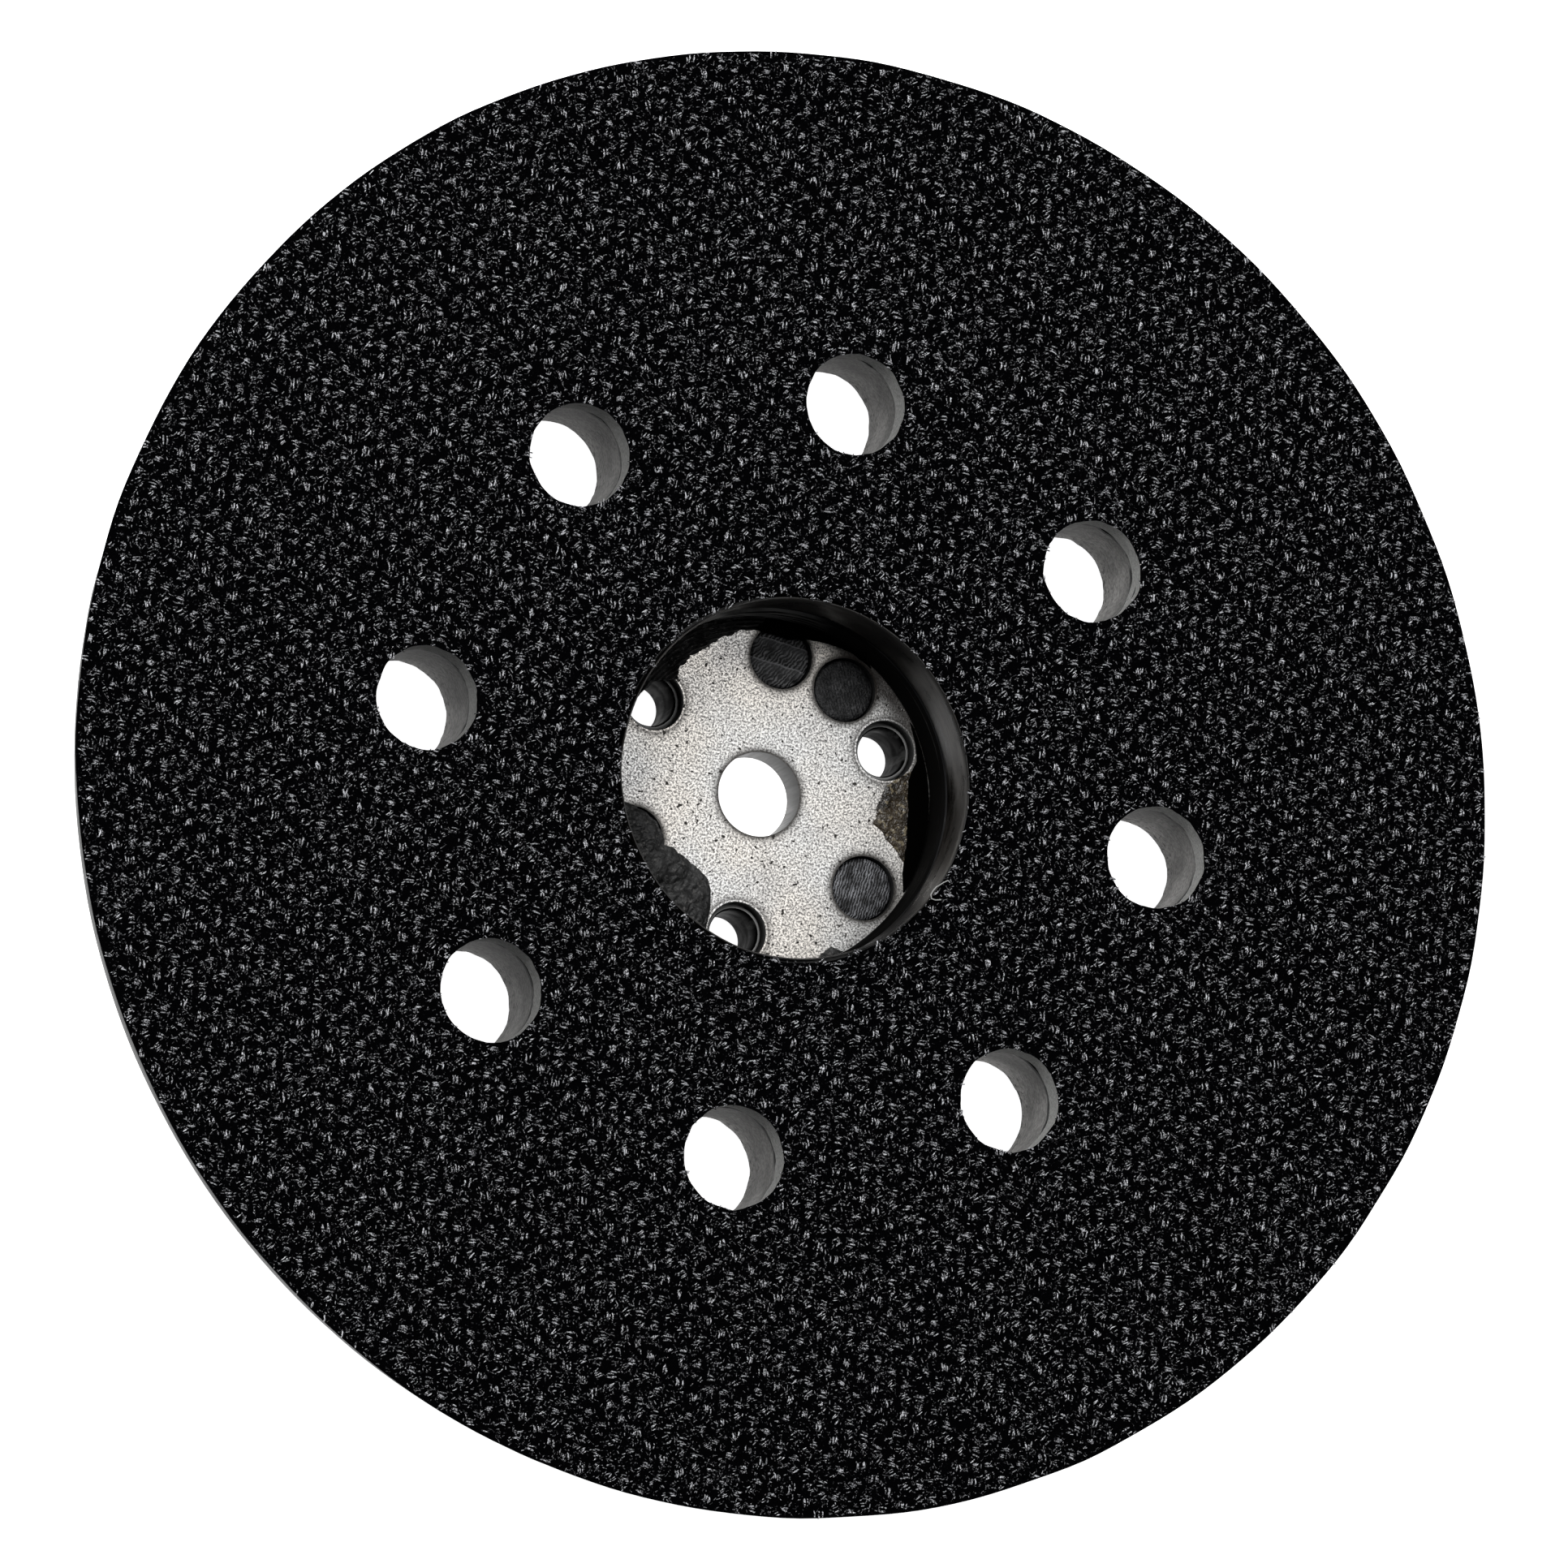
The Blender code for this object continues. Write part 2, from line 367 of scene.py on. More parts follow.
skinLook = {
    "dark": (0.020, 0.020, 0.021), "pale": (0.040, 0.040, 0.040), "pit": (0.008, 0.008, 0.008),
    "grain": 0.3 * mm, "pitShare": 0.33, "cloud": 6 * mm, "relief": 0.06 * mm,
}


# the foam's moulded outside
def foamSkin(tree, place, look):
    grains = gritAt(tree, place, look["grain"], look["pitShare"])
    cloud = speckle(tree, place, look["cloud"], 3)
    tint = between(tree, cloud, 0.35, 0.65, look["dark"], look["pale"])
    height = calc(tree, "SUBTRACT", calc(tree, "MULTIPLY", grains["Height"], 0.3), grains["Pits"])
    return {
        "colour": blendColour(tree, grains["Pits"], tint, look["pit"]),
        "roughness": remap(tree, cloud, 0.3, 0.7, 0.42, 0.62),
        "normal": bump(tree, height, look["relief"], 0.5),
    }


wellLook = {
    "dark": (0.0036, 0.0031, 0.0027), "dustAndSheen": (0.018, 0.0155, 0.0135), "paintedHighlight": (0.135, 0.129, 0.124),
    "lipGlint": (0.20, 0.20, 0.20), "paintedHighlightBearing": 30, "lipGlintBearing": -15, "smear": 1.4 * mm,
    "toolPitch": 0.12 * mm, "relief": 0.03 * mm,
}


# the satin black of the collar, with scuffs, a painted highlight on one stretch of its wall and a painted
# pale glint on the lip at its parting
def wellBlack(tree, place, look):
    level = levelOf(tree, place)
    lines = linesAt(tree, place, look["toolPitch"], 0.3)
    smear = speckle(tree, stretched(tree, place, 1, 1, 2.2), look["smear"], 4, 0.6)
    tint = between(tree, smear, 0.45, 0.72, look["dark"], look["dustAndSheen"])
    # painted highlight: a pale stretch of the wall towards one bearing, faded out at its foot and below the
    # rim
    paintedHighlight = product(
        tree, towards(tree, place, look["paintedHighlightBearing"], 13.6 * mm, 15.2 * mm),
        remap(tree, smear, 0.30, 0.62),
        remap(tree, level, collarLow + 0.6 * mm, collarLow + 2.4 * mm),
        remap(tree, level, hookTop - 0.5 * mm, hookTop - 1.1 * mm),
    )
    tint = blendColour(tree, paintedHighlight, tint, look["paintedHighlight"])
    # painted highlight: a thin pale glint along the lip at the collar's foot, on one side
    lipGlint = product(
        tree, remap(tree, level, collarLow + 0.36 * mm, collarLow + 0.22 * mm),
        remap(tree, smear, 0.42, 0.60),
        towards(tree, place, look["lipGlintBearing"], 7.0 * mm, 14.0 * mm),
    )
    return {
        "colour": blendColour(tree, lipGlint, tint, look["lipGlint"]), "gloss": 0.20,
        "roughness": remap(tree, smear, 0.3, 0.7, 0.22, 0.46),
        "normal": bump(tree, lines, look["relief"], 0.5),
    }


bossLook = {
    "dark": (0.0015, 0.0014, 0.0013), "markHighlight": (0.20, 0.196, 0.19), "markBearing": 130,
    "toolPitch": 0.16 * mm, "relief": 0.05 * mm,
}


# the boss's wall: dull black, with the crests of its tool marks painted pale on one side as highlights
def bossBlack(tree, place, look):
    lines = linesAt(tree, place, look["toolPitch"], 0.5)
    # painted highlight: pale crests of the tool lines towards one bearing
    markHighlightMask = towards(tree, place, look["markBearing"], 9.0 * mm, 14.0 * mm)
    markHighlightMask = product(tree, markHighlightMask, remap(tree, lines, 0.46, 0.60))
    return {
        "colour": blendColour(tree, markHighlightMask, look["dark"], look["markHighlight"]), "roughness": 0.5, "gloss": 0.06,
        "normal": bump(tree, lines, look["relief"], 0.8),
    }


hubLook = {
    "dark": (0.006, 0.006, 0.0065), "flow": (0.017, 0.017, 0.018), "fibre": (0.05, 0.05, 0.05),
    "grain": 0.22 * mm, "pitShare": 0.30, "flowSize": 5 * mm, "relief": 0.03 * mm,
}


# glass-filled nylon as it comes from the mould
def hubBlack(tree, place, look):
    grains = gritAt(tree, place, look["grain"], look["pitShare"])
    flow = speckle(tree, stretched(tree, place, 1, 0.35, 1), look["flowSize"], 4, distortion=1.2)
    tint = between(tree, flow, 0.35, 0.68, look["dark"], look["flow"])
    return {
        "colour": blendColour(tree, calc(tree, "MULTIPLY", grains["Pits"], 0.3), tint, look["fibre"]),
        "roughness": remap(tree, flow, 0.3, 0.7, 0.28, 0.46),
        "normal": bump(tree, grains["Height"], look["relief"], 0.35),
    }


sleeveLook = {
    "dark": (0.0008, 0.0008, 0.0008), "dustAndSheen": (0.045, 0.045, 0.044), "streak": 0.5 * mm, "smear": 0.9 * mm,
    "toolPitch": 0.2 * mm, "relief": 0.02 * mm,
}


# deep black liners of the screw holes, with pale vertical streaks painted in as their glossy reflections
def sleeveBlack(tree, place, look):
    lines = linesAt(tree, place, look["toolPitch"], 0.4)
    streak = speckle(tree, stretched(tree, place, 1, 1, 0.25), look["streak"], 3)
    # painted reflection: pale vertical streaks stand in for the glossy liner's reflections
    return {
        "colour": between(tree, streak, 0.54, 0.68, look["dark"], look["dustAndSheen"]), "gloss": 0.01,
        "roughness": remap(tree, speckle(tree, place, look["smear"], 3), 0.35, 0.65, 0.32, 0.55),
        "normal": bump(tree, lines, look["relief"], 0.5),
    }


steelLook = {
    "plain": (0.80, 0.79, 0.775), "warm": (0.86, 0.815, 0.76), "stain": (0.50, 0.485, 0.48),
    "holeShade": (0.05, 0.046, 0.042), "wallShade": (0.045, 0.036, 0.030), "pit": (0.03, 0.027, 0.024),
    "grain": 0.09 * mm, "pitShare": 0.30, "rareGrain": 0.15 * mm, "rareShare": 0.317,
    "stainSize": 3.2 * mm, "warmSize": 4.5 * mm, "haloWidth": 0.95 * mm, "haloStrength": 0.95,
    "lipStart": 0.10 * mm, "lipEnd": 0.18 * mm, "wallShadeBearing": 52, "relief": 0.035 * mm,
}
# each hole's centre, its radius and whether the painted shade round it stops short of its lip
haloes = [(Vector((0, 0, 0)), boreRadius, False)]
haloes += [(hole, screwRadius, True) for hole in screwHoles]
haloes += [(hole, plugRadius, False) for hole in plugHoles]


# painted shade: a dark ring round every hole, from 0 to 1, standing in for the shade of the dished edges and
# the plugs' contact shadow
def holeShadeMask(tree, place, look):
    flat = stretched(tree, place, 1, 1, 0)
    holeShade = 0.0
    for centre, radius, brightLip in haloes:
        away = vectorCalc(tree, "DISTANCE", flat, (centre.x, centre.y, 0))
        start = radius + look["lipStart"]
        ring = remap(tree, away, radius + look["haloWidth"], start)
        if brightLip:
            ring = product(tree, ring, remap(tree, away, start, radius + look["lipEnd"]))
        holeShade = calc(tree, "MAXIMUM", holeShade, ring)
    return calc(tree, "MULTIPLY", calc(tree, "POWER", holeShade, 2.0), look["haloStrength"])


# pale grainy steel with pits and warm stains, painted shade beside the wall on one side and painted shade
# round the holes
def blastedSteel(tree, place, look):
    height = gritAt(tree, place, look["grain"], look["pitShare"])["Height"]
    pits = gritAt(tree, place, look["rareGrain"], look["rareShare"])["Pits"]
    stain = speckle(tree, place, look["stainSize"], 3, distortion=0.6)
    warm = speckle(tree, vectorCalc(tree, "ADD", place, (0.3, 0.7, 0.1)), look["warmSize"])
    tint = between(tree, warm, 0.42, 0.62, look["plain"], look["warm"])
    tint = blendColour(tree, remap(tree, stain, 0.50, 0.72, 0.0, 0.45), tint, look["stain"])
    tint = scaled(tree, tint, remap(tree, height, 0.24, 0.70, 0.32, 1.14))
    # painted shade round the holes
    tint = blendColour(tree, holeShadeMask(tree, place, look), tint, look["holeShade"])
    # painted shade: the plate darkens towards the wall on one side, where the wall shades it
    wallShade = towards(tree, place, look["wallShadeBearing"], 12.9 * mm, 14.4 * mm)
    wallShade = product(tree, wallShade, remap(tree, stain, 0.30, 0.55, 0.6, 1.0))
    tint = blendColour(tree, wallShade, tint, look["wallShade"])
    relief = calc(tree, "SUBTRACT", height, calc(tree, "MULTIPLY", pits, 1.6))
    return {
        "colour": blendColour(tree, pits, tint, look["pit"]), "metallic": 0.75,
        "roughness": remap(tree, height, 0.2, 0.8, 0.52, 0.38),
        "normal": bump(tree, relief, look["relief"], 0.6),
    }


shornLook = {
    "dark": (0.015, 0.015, 0.015), "pale": (0.055, 0.055, 0.054), "drag": 0.5 * mm, "relief": 0.02 * mm,
}


# the smooth shorn wall inside a punched hole
def punchedSteel(tree, place, look):
    drag = speckle(tree, stretched(tree, place, 4, 4, 0.3), look["drag"], 3)
    return {
        "colour": blendColour(tree, drag, look["dark"], look["pale"]), "metallic": 0.5,
        "roughness": remap(tree, drag, 0.3, 0.7, 0.35, 0.50), "normal": bump(tree, drag, look["relief"], 0.4),
    }


flashLook = {
    "dark": (0.002, 0.002, 0.002), "pale": (0.020, 0.020, 0.0195), "grains": (0.11, 0.105, 0.10),
    "grain": 0.13 * mm, "pitShare": 0.36, "pitStrength": 0.5, "cloud": 0.8 * mm, "cloudFrom": 0.42,
    "roughness": 0.55, "relief": 0.05 * mm, "reliefStrength": 0.8,
}
glueLook = {
    "dark": (0.012, 0.009, 0.006), "pale": (0.045, 0.033, 0.020), "grains": (0.17, 0.14, 0.09),
    "grain": 0.15 * mm, "pitShare": 0.42, "pitStrength": 1.0, "cloud": 0.9 * mm, "cloudFrom": 0.40,
    "roughness": 0.28, "relief": 0.09 * mm, "reliefStrength": 0.9,
}


# cloudy and lumpy, with paler grains: the moulding's flash and the glue
def lumpy(tree, place, look):
    grains = gritAt(tree, place, look["grain"], look["pitShare"])
    cloud = speckle(tree, place, look["cloud"], 3)
    tint = between(tree, cloud, look["cloudFrom"], 0.62, look["dark"], look["pale"])
    paler = calc(tree, "MULTIPLY", grains["Pits"], look["pitStrength"])
    return {
        "colour": blendColour(tree, paler, tint, look["grains"]), "roughness": look["roughness"],
        "normal": bump(tree, grains["Height"], look["relief"], look["reliefStrength"]),
    }


# one faintly clouded colour
def plain(tree, place, look):
    darker = tuple(c * 0.6 for c in look["colour"])
    return {
        "colour": blendColour(tree, speckle(tree, place, 2 * mm), darker, look["colour"]),
        "roughness": look["roughness"], "gloss": look["gloss"],
    }


glueLineLook = {"colour": (0.012, 0.010, 0.008), "roughness": 0.6, "gloss": 0.5}
# painted highlight: the black sleeves' top faces are painted pale, as a lit ledge under the plate's lip
sleeveTopLook = {"colour": (0.26, 0.26, 0.255), "roughness": 0.4, "gloss": 0.5}
shadowLook = {"colour": (0.0012, 0.0011, 0.0010), "roughness": 0.85, "gloss": 0.0}
lintLook = {"colour": (0.55, 0.55, 0.54), "roughness": 0.7, "gloss": 0.5}

finishes = {
    "hook": newFinish("hookNylon", nylon, hookLook),
    "fuzz": newFinish("fuzzNylon", nylon, fuzzLook),
    "ground": newFinish("hookGround", groundCloth, groundLook),
    "laminate": newFinish("paleLaminate", paleLaminate, laminateLook),
    "foam": newFinish("cutFoam", cutFoam, foamLook),
    "skin": newFinish("foamSkin", foamSkin, skinLook),
    "well": newFinish("wellBlack", wellBlack, wellLook),
    "boss": newFinish("bossBlack", bossBlack, bossLook),
    "hub": newFinish("hubBlack", hubBlack, hubLook),
    "sleeve": newFinish("sleeveBlack", sleeveBlack, sleeveLook),
    "steel": newFinish("blastedSteel", blastedSteel, steelLook),
    "shorn": newFinish("punchedSteel", punchedSteel, shornLook),
    "flash": newFinish("dullFlash", lumpy, flashLook),
    "glue": newFinish("amberGlue", lumpy, glueLook),
    "glueLine": newFinish("glueLine", plain, glueLineLook),
    "sleeveTopHighlight": newFinish("sleeveTopHighlight", plain, sleeveTopLook),
    "shadow": newFinish("shadowBlack", plain, shadowLook),
    "lint": newFinish("lint", plain, lintLook),
}
print("finishes made:", len(finishes))


# mesh helpers

def addObject(name, data):
    obj = bpy.data.objects.new(name, data)
    bpy.context.scene.collection.objects.link(obj)
    return obj


# a piece of the pad; the mesh keeps each face's material number
def addPiece(name, mesh, finishNames, replaced=()):
    obj = addObject(name, mesh)
    places = np.empty(len(mesh.polygons), np.int32)
    mesh.polygons.foreach_get("material_index", places)
    mesh.materials.clear()
    for finishName in finishNames:
        mesh.materials.append(finishes[finishName])
    mesh.polygons.foreach_set("material_index", places)
    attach(obj, "root")
    if replaced:
        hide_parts(*replaced)
    return obj


# the object's mesh with its modifiers applied; the object is removed
def settled(obj):
    bpy.context.view_layer.update()
    mesh = bpy.data.meshes.new_from_object(obj.evaluated_get(bpy.context.evaluated_depsgraph_get()))
    bpy.data.objects.remove(obj)
    return mesh


def meshFrom(name, shape):
    bmesh.ops.recalc_face_normals(shape, faces=shape.faces)
    mesh = bpy.data.meshes.new(name)
    shape.to_mesh(mesh)
    shape.free()
    return mesh


# walls from each closed ring of points to the next
def joinRings(shape, rings):
    for lower, upper in zip(rings, rings[1:]):
        for i in range(len(lower)):
            j = (i + 1) % len(lower)
            shape.faces.new((lower[i], lower[j], upper[j], upper[i]))


def turns(segments):
    return [2 * math.pi * step / segments for step in range(segments)]


# a closed ring turned from (radius, height) points, down the outer side first; wander moves each point
def turnedMesh(name, profile, segments, wander=None):
    shape = bmesh.new()
    rows = []
    for turn in turns(segments):
        row = [wander(radius, height, turn) if wander else (radius, height) for radius, height in profile]
        rows.append([shape.verts.new((r * math.cos(turn), r * math.sin(turn), h)) for r, h in row])
    joinRings(shape, rows + rows[:1])
    return meshFrom(name, shape)


# an upright cylinder with a slightly ragged wall, to cut a hole with
def cutterFor(centre, radius, low, high, segments=64, ragged=0.0, seed=0):
    shape = bmesh.new()
    rings = []
    for level in (low, low * 0.55 + high * 0.45, low * 0.45 + high * 0.55, high):
        ring = []
        for turn in turns(segments):
            rough = noise.noise(Vector((3 * math.cos(turn), 3 * math.sin(turn), seed * 7.1 + level * 90)))
            fine = noise.noise(Vector((14 * math.cos(turn), 14 * math.sin(turn), seed * 3.3)))
            r = radius + ragged * (rough + 0.4 * fine)
            x, y = centre.x + r * math.cos(turn), centre.y + r * math.sin(turn)
            ring.append(shape.verts.new((x, y, level)))
        rings.append(ring)
    joinRings(shape, rings)
    shape.faces.new(rings[0][::-1])
    shape.faces.new(rings[-1])
    return addObject("cutter", meshFrom("cutter", shape))


# the mesh with all the cutters taken out of it; the cutters are removed
def cutHoles(mesh, cutters):
    blank = addObject("blank", mesh)
    for cutter in cutters:
        cut = blank.modifiers.new("hole", "BOOLEAN")
        cut.operation, cut.solver, cut.object = "DIFFERENCE", "EXACT", cutter
    result = settled(blank)
    for cutter in cutters:
        bpy.data.objects.remove(cutter)
    return result


# the mesh with its sharp edges rounded and its flats kept flat
def roundEdges(mesh, width, segments=3, sharper=40):
    blank = addObject("blank", mesh)
    bevel = blank.modifiers.new("round", "BEVEL")
    bevel.width, bevel.segments = width, segments
    bevel.limit_method, bevel.angle_limit = "ANGLE", math.radians(sharper)
    bevel.use_clamp_overlap = True
    level = blank.modifiers.new("normals", "WEIGHTED_NORMAL")
    level.weight, level.keep_sharp = 80, True
    mesh.shade_smooth()
    return settled(blank)


def shadeRound(mesh, angle=35):
    mesh.shade_smooth()
    mesh.set_sharp_from_angle(angle=math.radians(angle))


# each face gets the material number that the rule gives for its centre and normal
def assignByPlace(mesh, rule):
    for face in mesh.polygons:
        face.material_index = int(rule(face.center, face.normal))


def nearHole(point, margin=0.35 * mm):
    return any((Vector((point.x, point.y, 0)) - hole).length < dustRadius + margin for hole in dustHoles)


# a smooth closed wander round the axis, from -1 to 1
def wave(turn, seed, lobes=3.0):
    return noise.noise(Vector((lobes * math.cos(turn), lobes * math.sin(turn), seed)))


# sizes of the well, which the cloth's opening follows

well = {
    "segments": 160, "lip": 0.28 * mm, "ridgePitch": 0.36 * mm, "ridgeDepth": 0.09 * mm,
    "rimWidth": 0.16 * mm, "rimDrop": 0.35 * mm, "lipLean": 0.13 * mm, "collarWander": 0.07 * mm,
    "bossWander": 0.05 * mm, "flangeTop": foamLow + 2.0 * mm, "flangeRadius": 26.5 * mm,
    "hubRadius": 21.0 * mm, "pocketRadius": 8.5 * mm, "seatRadius": plateOut + 0.3 * mm, "edge": 0.6 * mm,
}


# the bonded layers: hook cloth, its laminate, the glue and the foam

layers = {
    "groundThick": 1.10 * mm, "clothOverhang": 0.15 * mm, "segments": 256, "rimWander": 0.10 * mm,
    "backingWander": 0.07 * mm, "holeRagged": 0.12 * mm, "laminateBulge": 0.08 * mm,
    "laminateRise": 0.28 * mm, "rimStep": 0.42 * mm, "glueGap": 0.06 * mm, "glueBack": 0.45 * mm,
}
cloth = {"rim": padRadius - 0.04 * mm, "opening": collarIn + well["rimWidth"] + 0.1 * mm, "chamfer": 0.1 * mm}
foam = {
    "cornerRound": 0.5 * mm, "topRound": 0.2 * mm, "rimFlat": 0.75 * mm, "taperSteps": 8,
    "taperHollow": 0.35 * mm, "rimWander": 0.06 * mm,
}


def dustCutters(low, high, growth, seed):
    return [
        cutterFor(hole, dustRadius + growth, low, high, 72, layers["holeRagged"], seed + number)
        for number, hole in enumerate(dustHoles)
    ]


def makeGround():
    top = sheetLow + layers["groundThick"]
    rim, opening, chamfer = cloth["rim"], cloth["opening"], cloth["chamfer"]

    def wander(radius, height, turn):
        return radius + layers["rimWander"] * wave(turn, 4.0 if radius > 0.03 else 9.0, 9), height

    profile = [
        (rim - 0.08 * mm, top), (rim, top - chamfer), (rim - layers["rimStep"], sheetLow),
        (opening, sheetLow), (opening, top - chamfer), (opening + 0.08 * mm, top),
    ]
    mesh = turnedMesh("hookGround", profile, layers["segments"], wander)
    mesh = cutHoles(mesh, dustCutters(sheetLow - mm, top + mm, -layers["clothOverhang"], 20))
    assignByPlace(mesh, lambda centre, normal: nearHole(centre) and abs(normal.z) < 0.5)
    shadeRound(mesh)
    return addPiece("hookGround", mesh, ["ground", "laminate"], ["hook_sheet"])


def makeLaminate():
    rim = backingOut - layers["rimStep"]
    low, high = backingLow, backingHigh + layers["laminateRise"]

    def wander(radius, height, turn):
        outer = radius >= 0.03
        return radius + (layers["backingWander"] * wave(turn, 2.0 + 300 * height, 12) if outer else 0), height

    profile = [(rim, high), (rim + layers["laminateBulge"], (low + high) / 2), (rim, low)]
    profile += [(backingIn, low), (backingIn, high)]
    mesh = turnedMesh("hookLaminate", profile, layers["segments"], wander)
    mesh = cutHoles(mesh, dustCutters(low - mm, high + mm, -0.08 * mm, 40))
    assignByPlace(mesh, lambda centre, normal: not nearHole(centre))
    shadeRound(mesh)
    addPiece("hookLaminate", mesh, ["laminate", "skin"], ["hook_backing"])


# the thin dark line of glue between the laminate and the foam, kept back from every cut edge
def makeGlueLine():
    low, high = foamHigh + layers["glueGap"], backingLow - layers["glueGap"]
    rim, opening = foamOut - 0.5 * mm, foamIn + 0.3 * mm
    mesh = turnedMesh("glueLine", [(rim, high), (rim, low), (opening, low), (opening, high)], 128)
    mesh = cutHoles(mesh, dustCutters(low - mm, high + mm, layers["glueBack"], 60))
    shadeRound(mesh)
    addPiece("glueLine", mesh, ["glueLine"])


# from the CAD foam: the radius and top of the seat that the hub's flange fills, and the back's radius
def foamBack():
    corners = [(math.hypot(v.co.x, v.co.y), v.co.z) for v in frame["nodes"]["foam_cushion"].data.vertices]
    seatRadius = min(radius for radius, z in corners if abs(z - foamLow) < 0.01 * mm)
    seatTop = max(z for radius, z in corners if radius < dustPitch - dustRadius and z < foamHigh - mm)
    backRadius = max(radius for radius, z in corners if z < foamLow + 0.9 * mm)
    return seatRadius, seatTop, backRadius


def makeFoam():
    seatRadius, seatTop, backRadius = foamBack()
    corner, flat = foam["cornerRound"], foam["rimFlat"]
    rim = foamOut - layers["rimStep"]
    side = rim - 0.05 * mm
    profile = [(rim - 0.25 * mm, foamHigh), (rim, foamHigh - foam["topRound"]), (side, foamHigh - flat)]
    for i in range(1, foam["taperSteps"]):
        share = i / foam["taperSteps"]
        hollow = foam["taperHollow"] * math.sin(math.pi * share)  # the taper is drawn in a little
        drop = share * (foamHigh - foamLow - flat - corner)
        profile.append((side - share * (rim - backRadius) - hollow, foamHigh - flat - drop))
    profile += [(backRadius, foamLow + corner), (backRadius - 0.2 * corner, foamLow + 0.4 * corner)]
    profile += [(backRadius - corner, foamLow), (seatRadius, foamLow), (seatRadius, seatTop)]
    profile += [(foamIn, seatTop), (foamIn, foamHigh)]

    def wander(radius, height, turn):
        outer = radius > 0.04
        return radius + (foam["rimWander"] * wave(turn, height * 150, 7) if outer else 0), height

    def moulded(centre, normal):
        cut = nearHole(centre, 0.3 * mm) and abs(normal.z) < 0.6
        return not (cut or centre.z > foamHigh - 0.05 * mm)

    mesh = turnedMesh("foamPad", profile, layers["segments"], wander)
    mesh = cutHoles(mesh, dustCutters(foamLow - mm, foamHigh + mm, 0.0, 80))
    assignByPlace(mesh, moulded)
    shadeRound(mesh)
    pad = addPiece("foamPad", mesh, ["foam", "skin"], ["foam_cushion"])


ground = makeGround()
makeLaminate()
makeGlueLine()
makeFoam()
print("layers made")


# the well: collar above, the hub's boss below

def makeCollar():
    top, low, lip = hookTop - well["rimDrop"], collarLow, well["lip"]
    shelf, rim = sheetLow - 0.06 * mm, collarIn + well["rimWidth"]
    profile = [(rim, shelf), (collarOut, shelf), (collarOut, low), (collarIn + lip, low)]
    profile += [(collarIn + 0.3 * lip, low + 0.3 * lip), (collarIn, low + lip)]
    steps = 9
    profile += [(collarIn, low + lip + (top - low - 1.5 * lip) * i / steps) for i in range(1, steps + 1)]
    profile += [(collarIn + 0.05 * mm, top), (rim - 0.02 * mm, top)]

    def wander(radius, height, turn):
        if radius > collarIn + mm:
            return radius, height
        # the lip leans in on the side away from the painted highlight
        rise = min(1.0, max(0.0, (height - low - mm) / (2 * mm)))
        lean = rise * (1 - math.cos(turn - math.radians(wellLook["paintedHighlightBearing"])))
        return radius + well["collarWander"] * wave(turn, height * 260, 3) - well["lipLean"] * lean, height

    mesh = turnedMesh("wellCollar", profile, well["segments"], wander)
    shadeRound(mesh, 50)
    addPiece("wellCollar", mesh, ["well"], ["recess_collar"])


def makeHub():
    edge, pitch = well["edge"], well["ridgePitch"]
    flange, hub = well["flangeRadius"], well["hubRadius"]
    pocket, seat = well["pocketRadius"], well["seatRadius"]
    seatLow, seatTop = plateLow - 0.3 * mm, plateHigh + 0.3 * mm
    profile = [(collarOut, hubHigh), (collarOut, well["flangeTop"]), (flange - edge, well["flangeTop"])]
    profile += [(flange, well["flangeTop"] - edge), (flange, foamLow), (hub + edge, foamLow)]
    profile += [(hub, foamLow - edge), (hub, edge), (hub - edge, 0)]
    profile += [(pocket + edge, 0), (pocket, edge), (pocket, seatLow)]
    profile += [(seat, seatLow), (seat, seatTop), (bossIn, seatTop)]
    for i in range(int((hubHigh - seatTop - 0.5 * mm) / pitch)):  # the tool's ridges
        base = seatTop + 0.2 * mm + i * pitch
        profile += [(bossIn, base), (bossIn + well["ridgeDepth"], base + pitch * 0.45)]
    profile += [(bossIn, hubHigh - 0.25 * mm), (bossIn + 0.25 * mm, hubHigh)]

    def wander(radius, height, turn):
        inner = abs(radius - bossIn) < 0.1 * mm and height > plateHigh
        return radius + (well["bossWander"] * wave(turn, height * 500, 5) if inner else 0), height

    def bossWall(centre, normal):
        return math.hypot(centre.x, centre.y) < bossIn + 0.4 * mm and centre.z > seatTop - 0.1 * mm

    mesh = turnedMesh("hubBody", profile, well["segments"], wander)
    mesh = cutHoles(mesh, [cutterFor(hole, screwRadius, -mm, seatTop + mm, 48) for hole in screwHoles])
    assignByPlace(mesh, bossWall)
    shadeRound(mesh, 32)
    addPiece("hubBody", mesh, ["hub", "boss"], ["drive_hub"])


def makePlate():
    profile = [(plateOut, plateHigh), (plateOut, plateLow), (boreRadius, plateLow), (boreRadius, plateHigh)]
    punched = [(hole, screwRadius) for hole in screwHoles] + [(hole, plugRadius) for hole in plugHoles]
    cutters = [cutterFor(hole, radius, plateLow - mm, plateHigh + mm, 72) for hole, radius in punched]
    mesh = roundEdges(cutHoles(turnedMesh("steelPlate", profile, 160), cutters), 0.12 * mm)
    assignByPlace(mesh, lambda centre, normal: abs(normal.z) <= 0.25)
    addPiece("steelPlate", mesh, ["steel", "shorn"], ["centre_plate"])


sleeve = {"outer": 2.45 * mm, "inner": 2.05 * mm, "lip": 0.14 * mm, "ridge": 0.03 * mm}


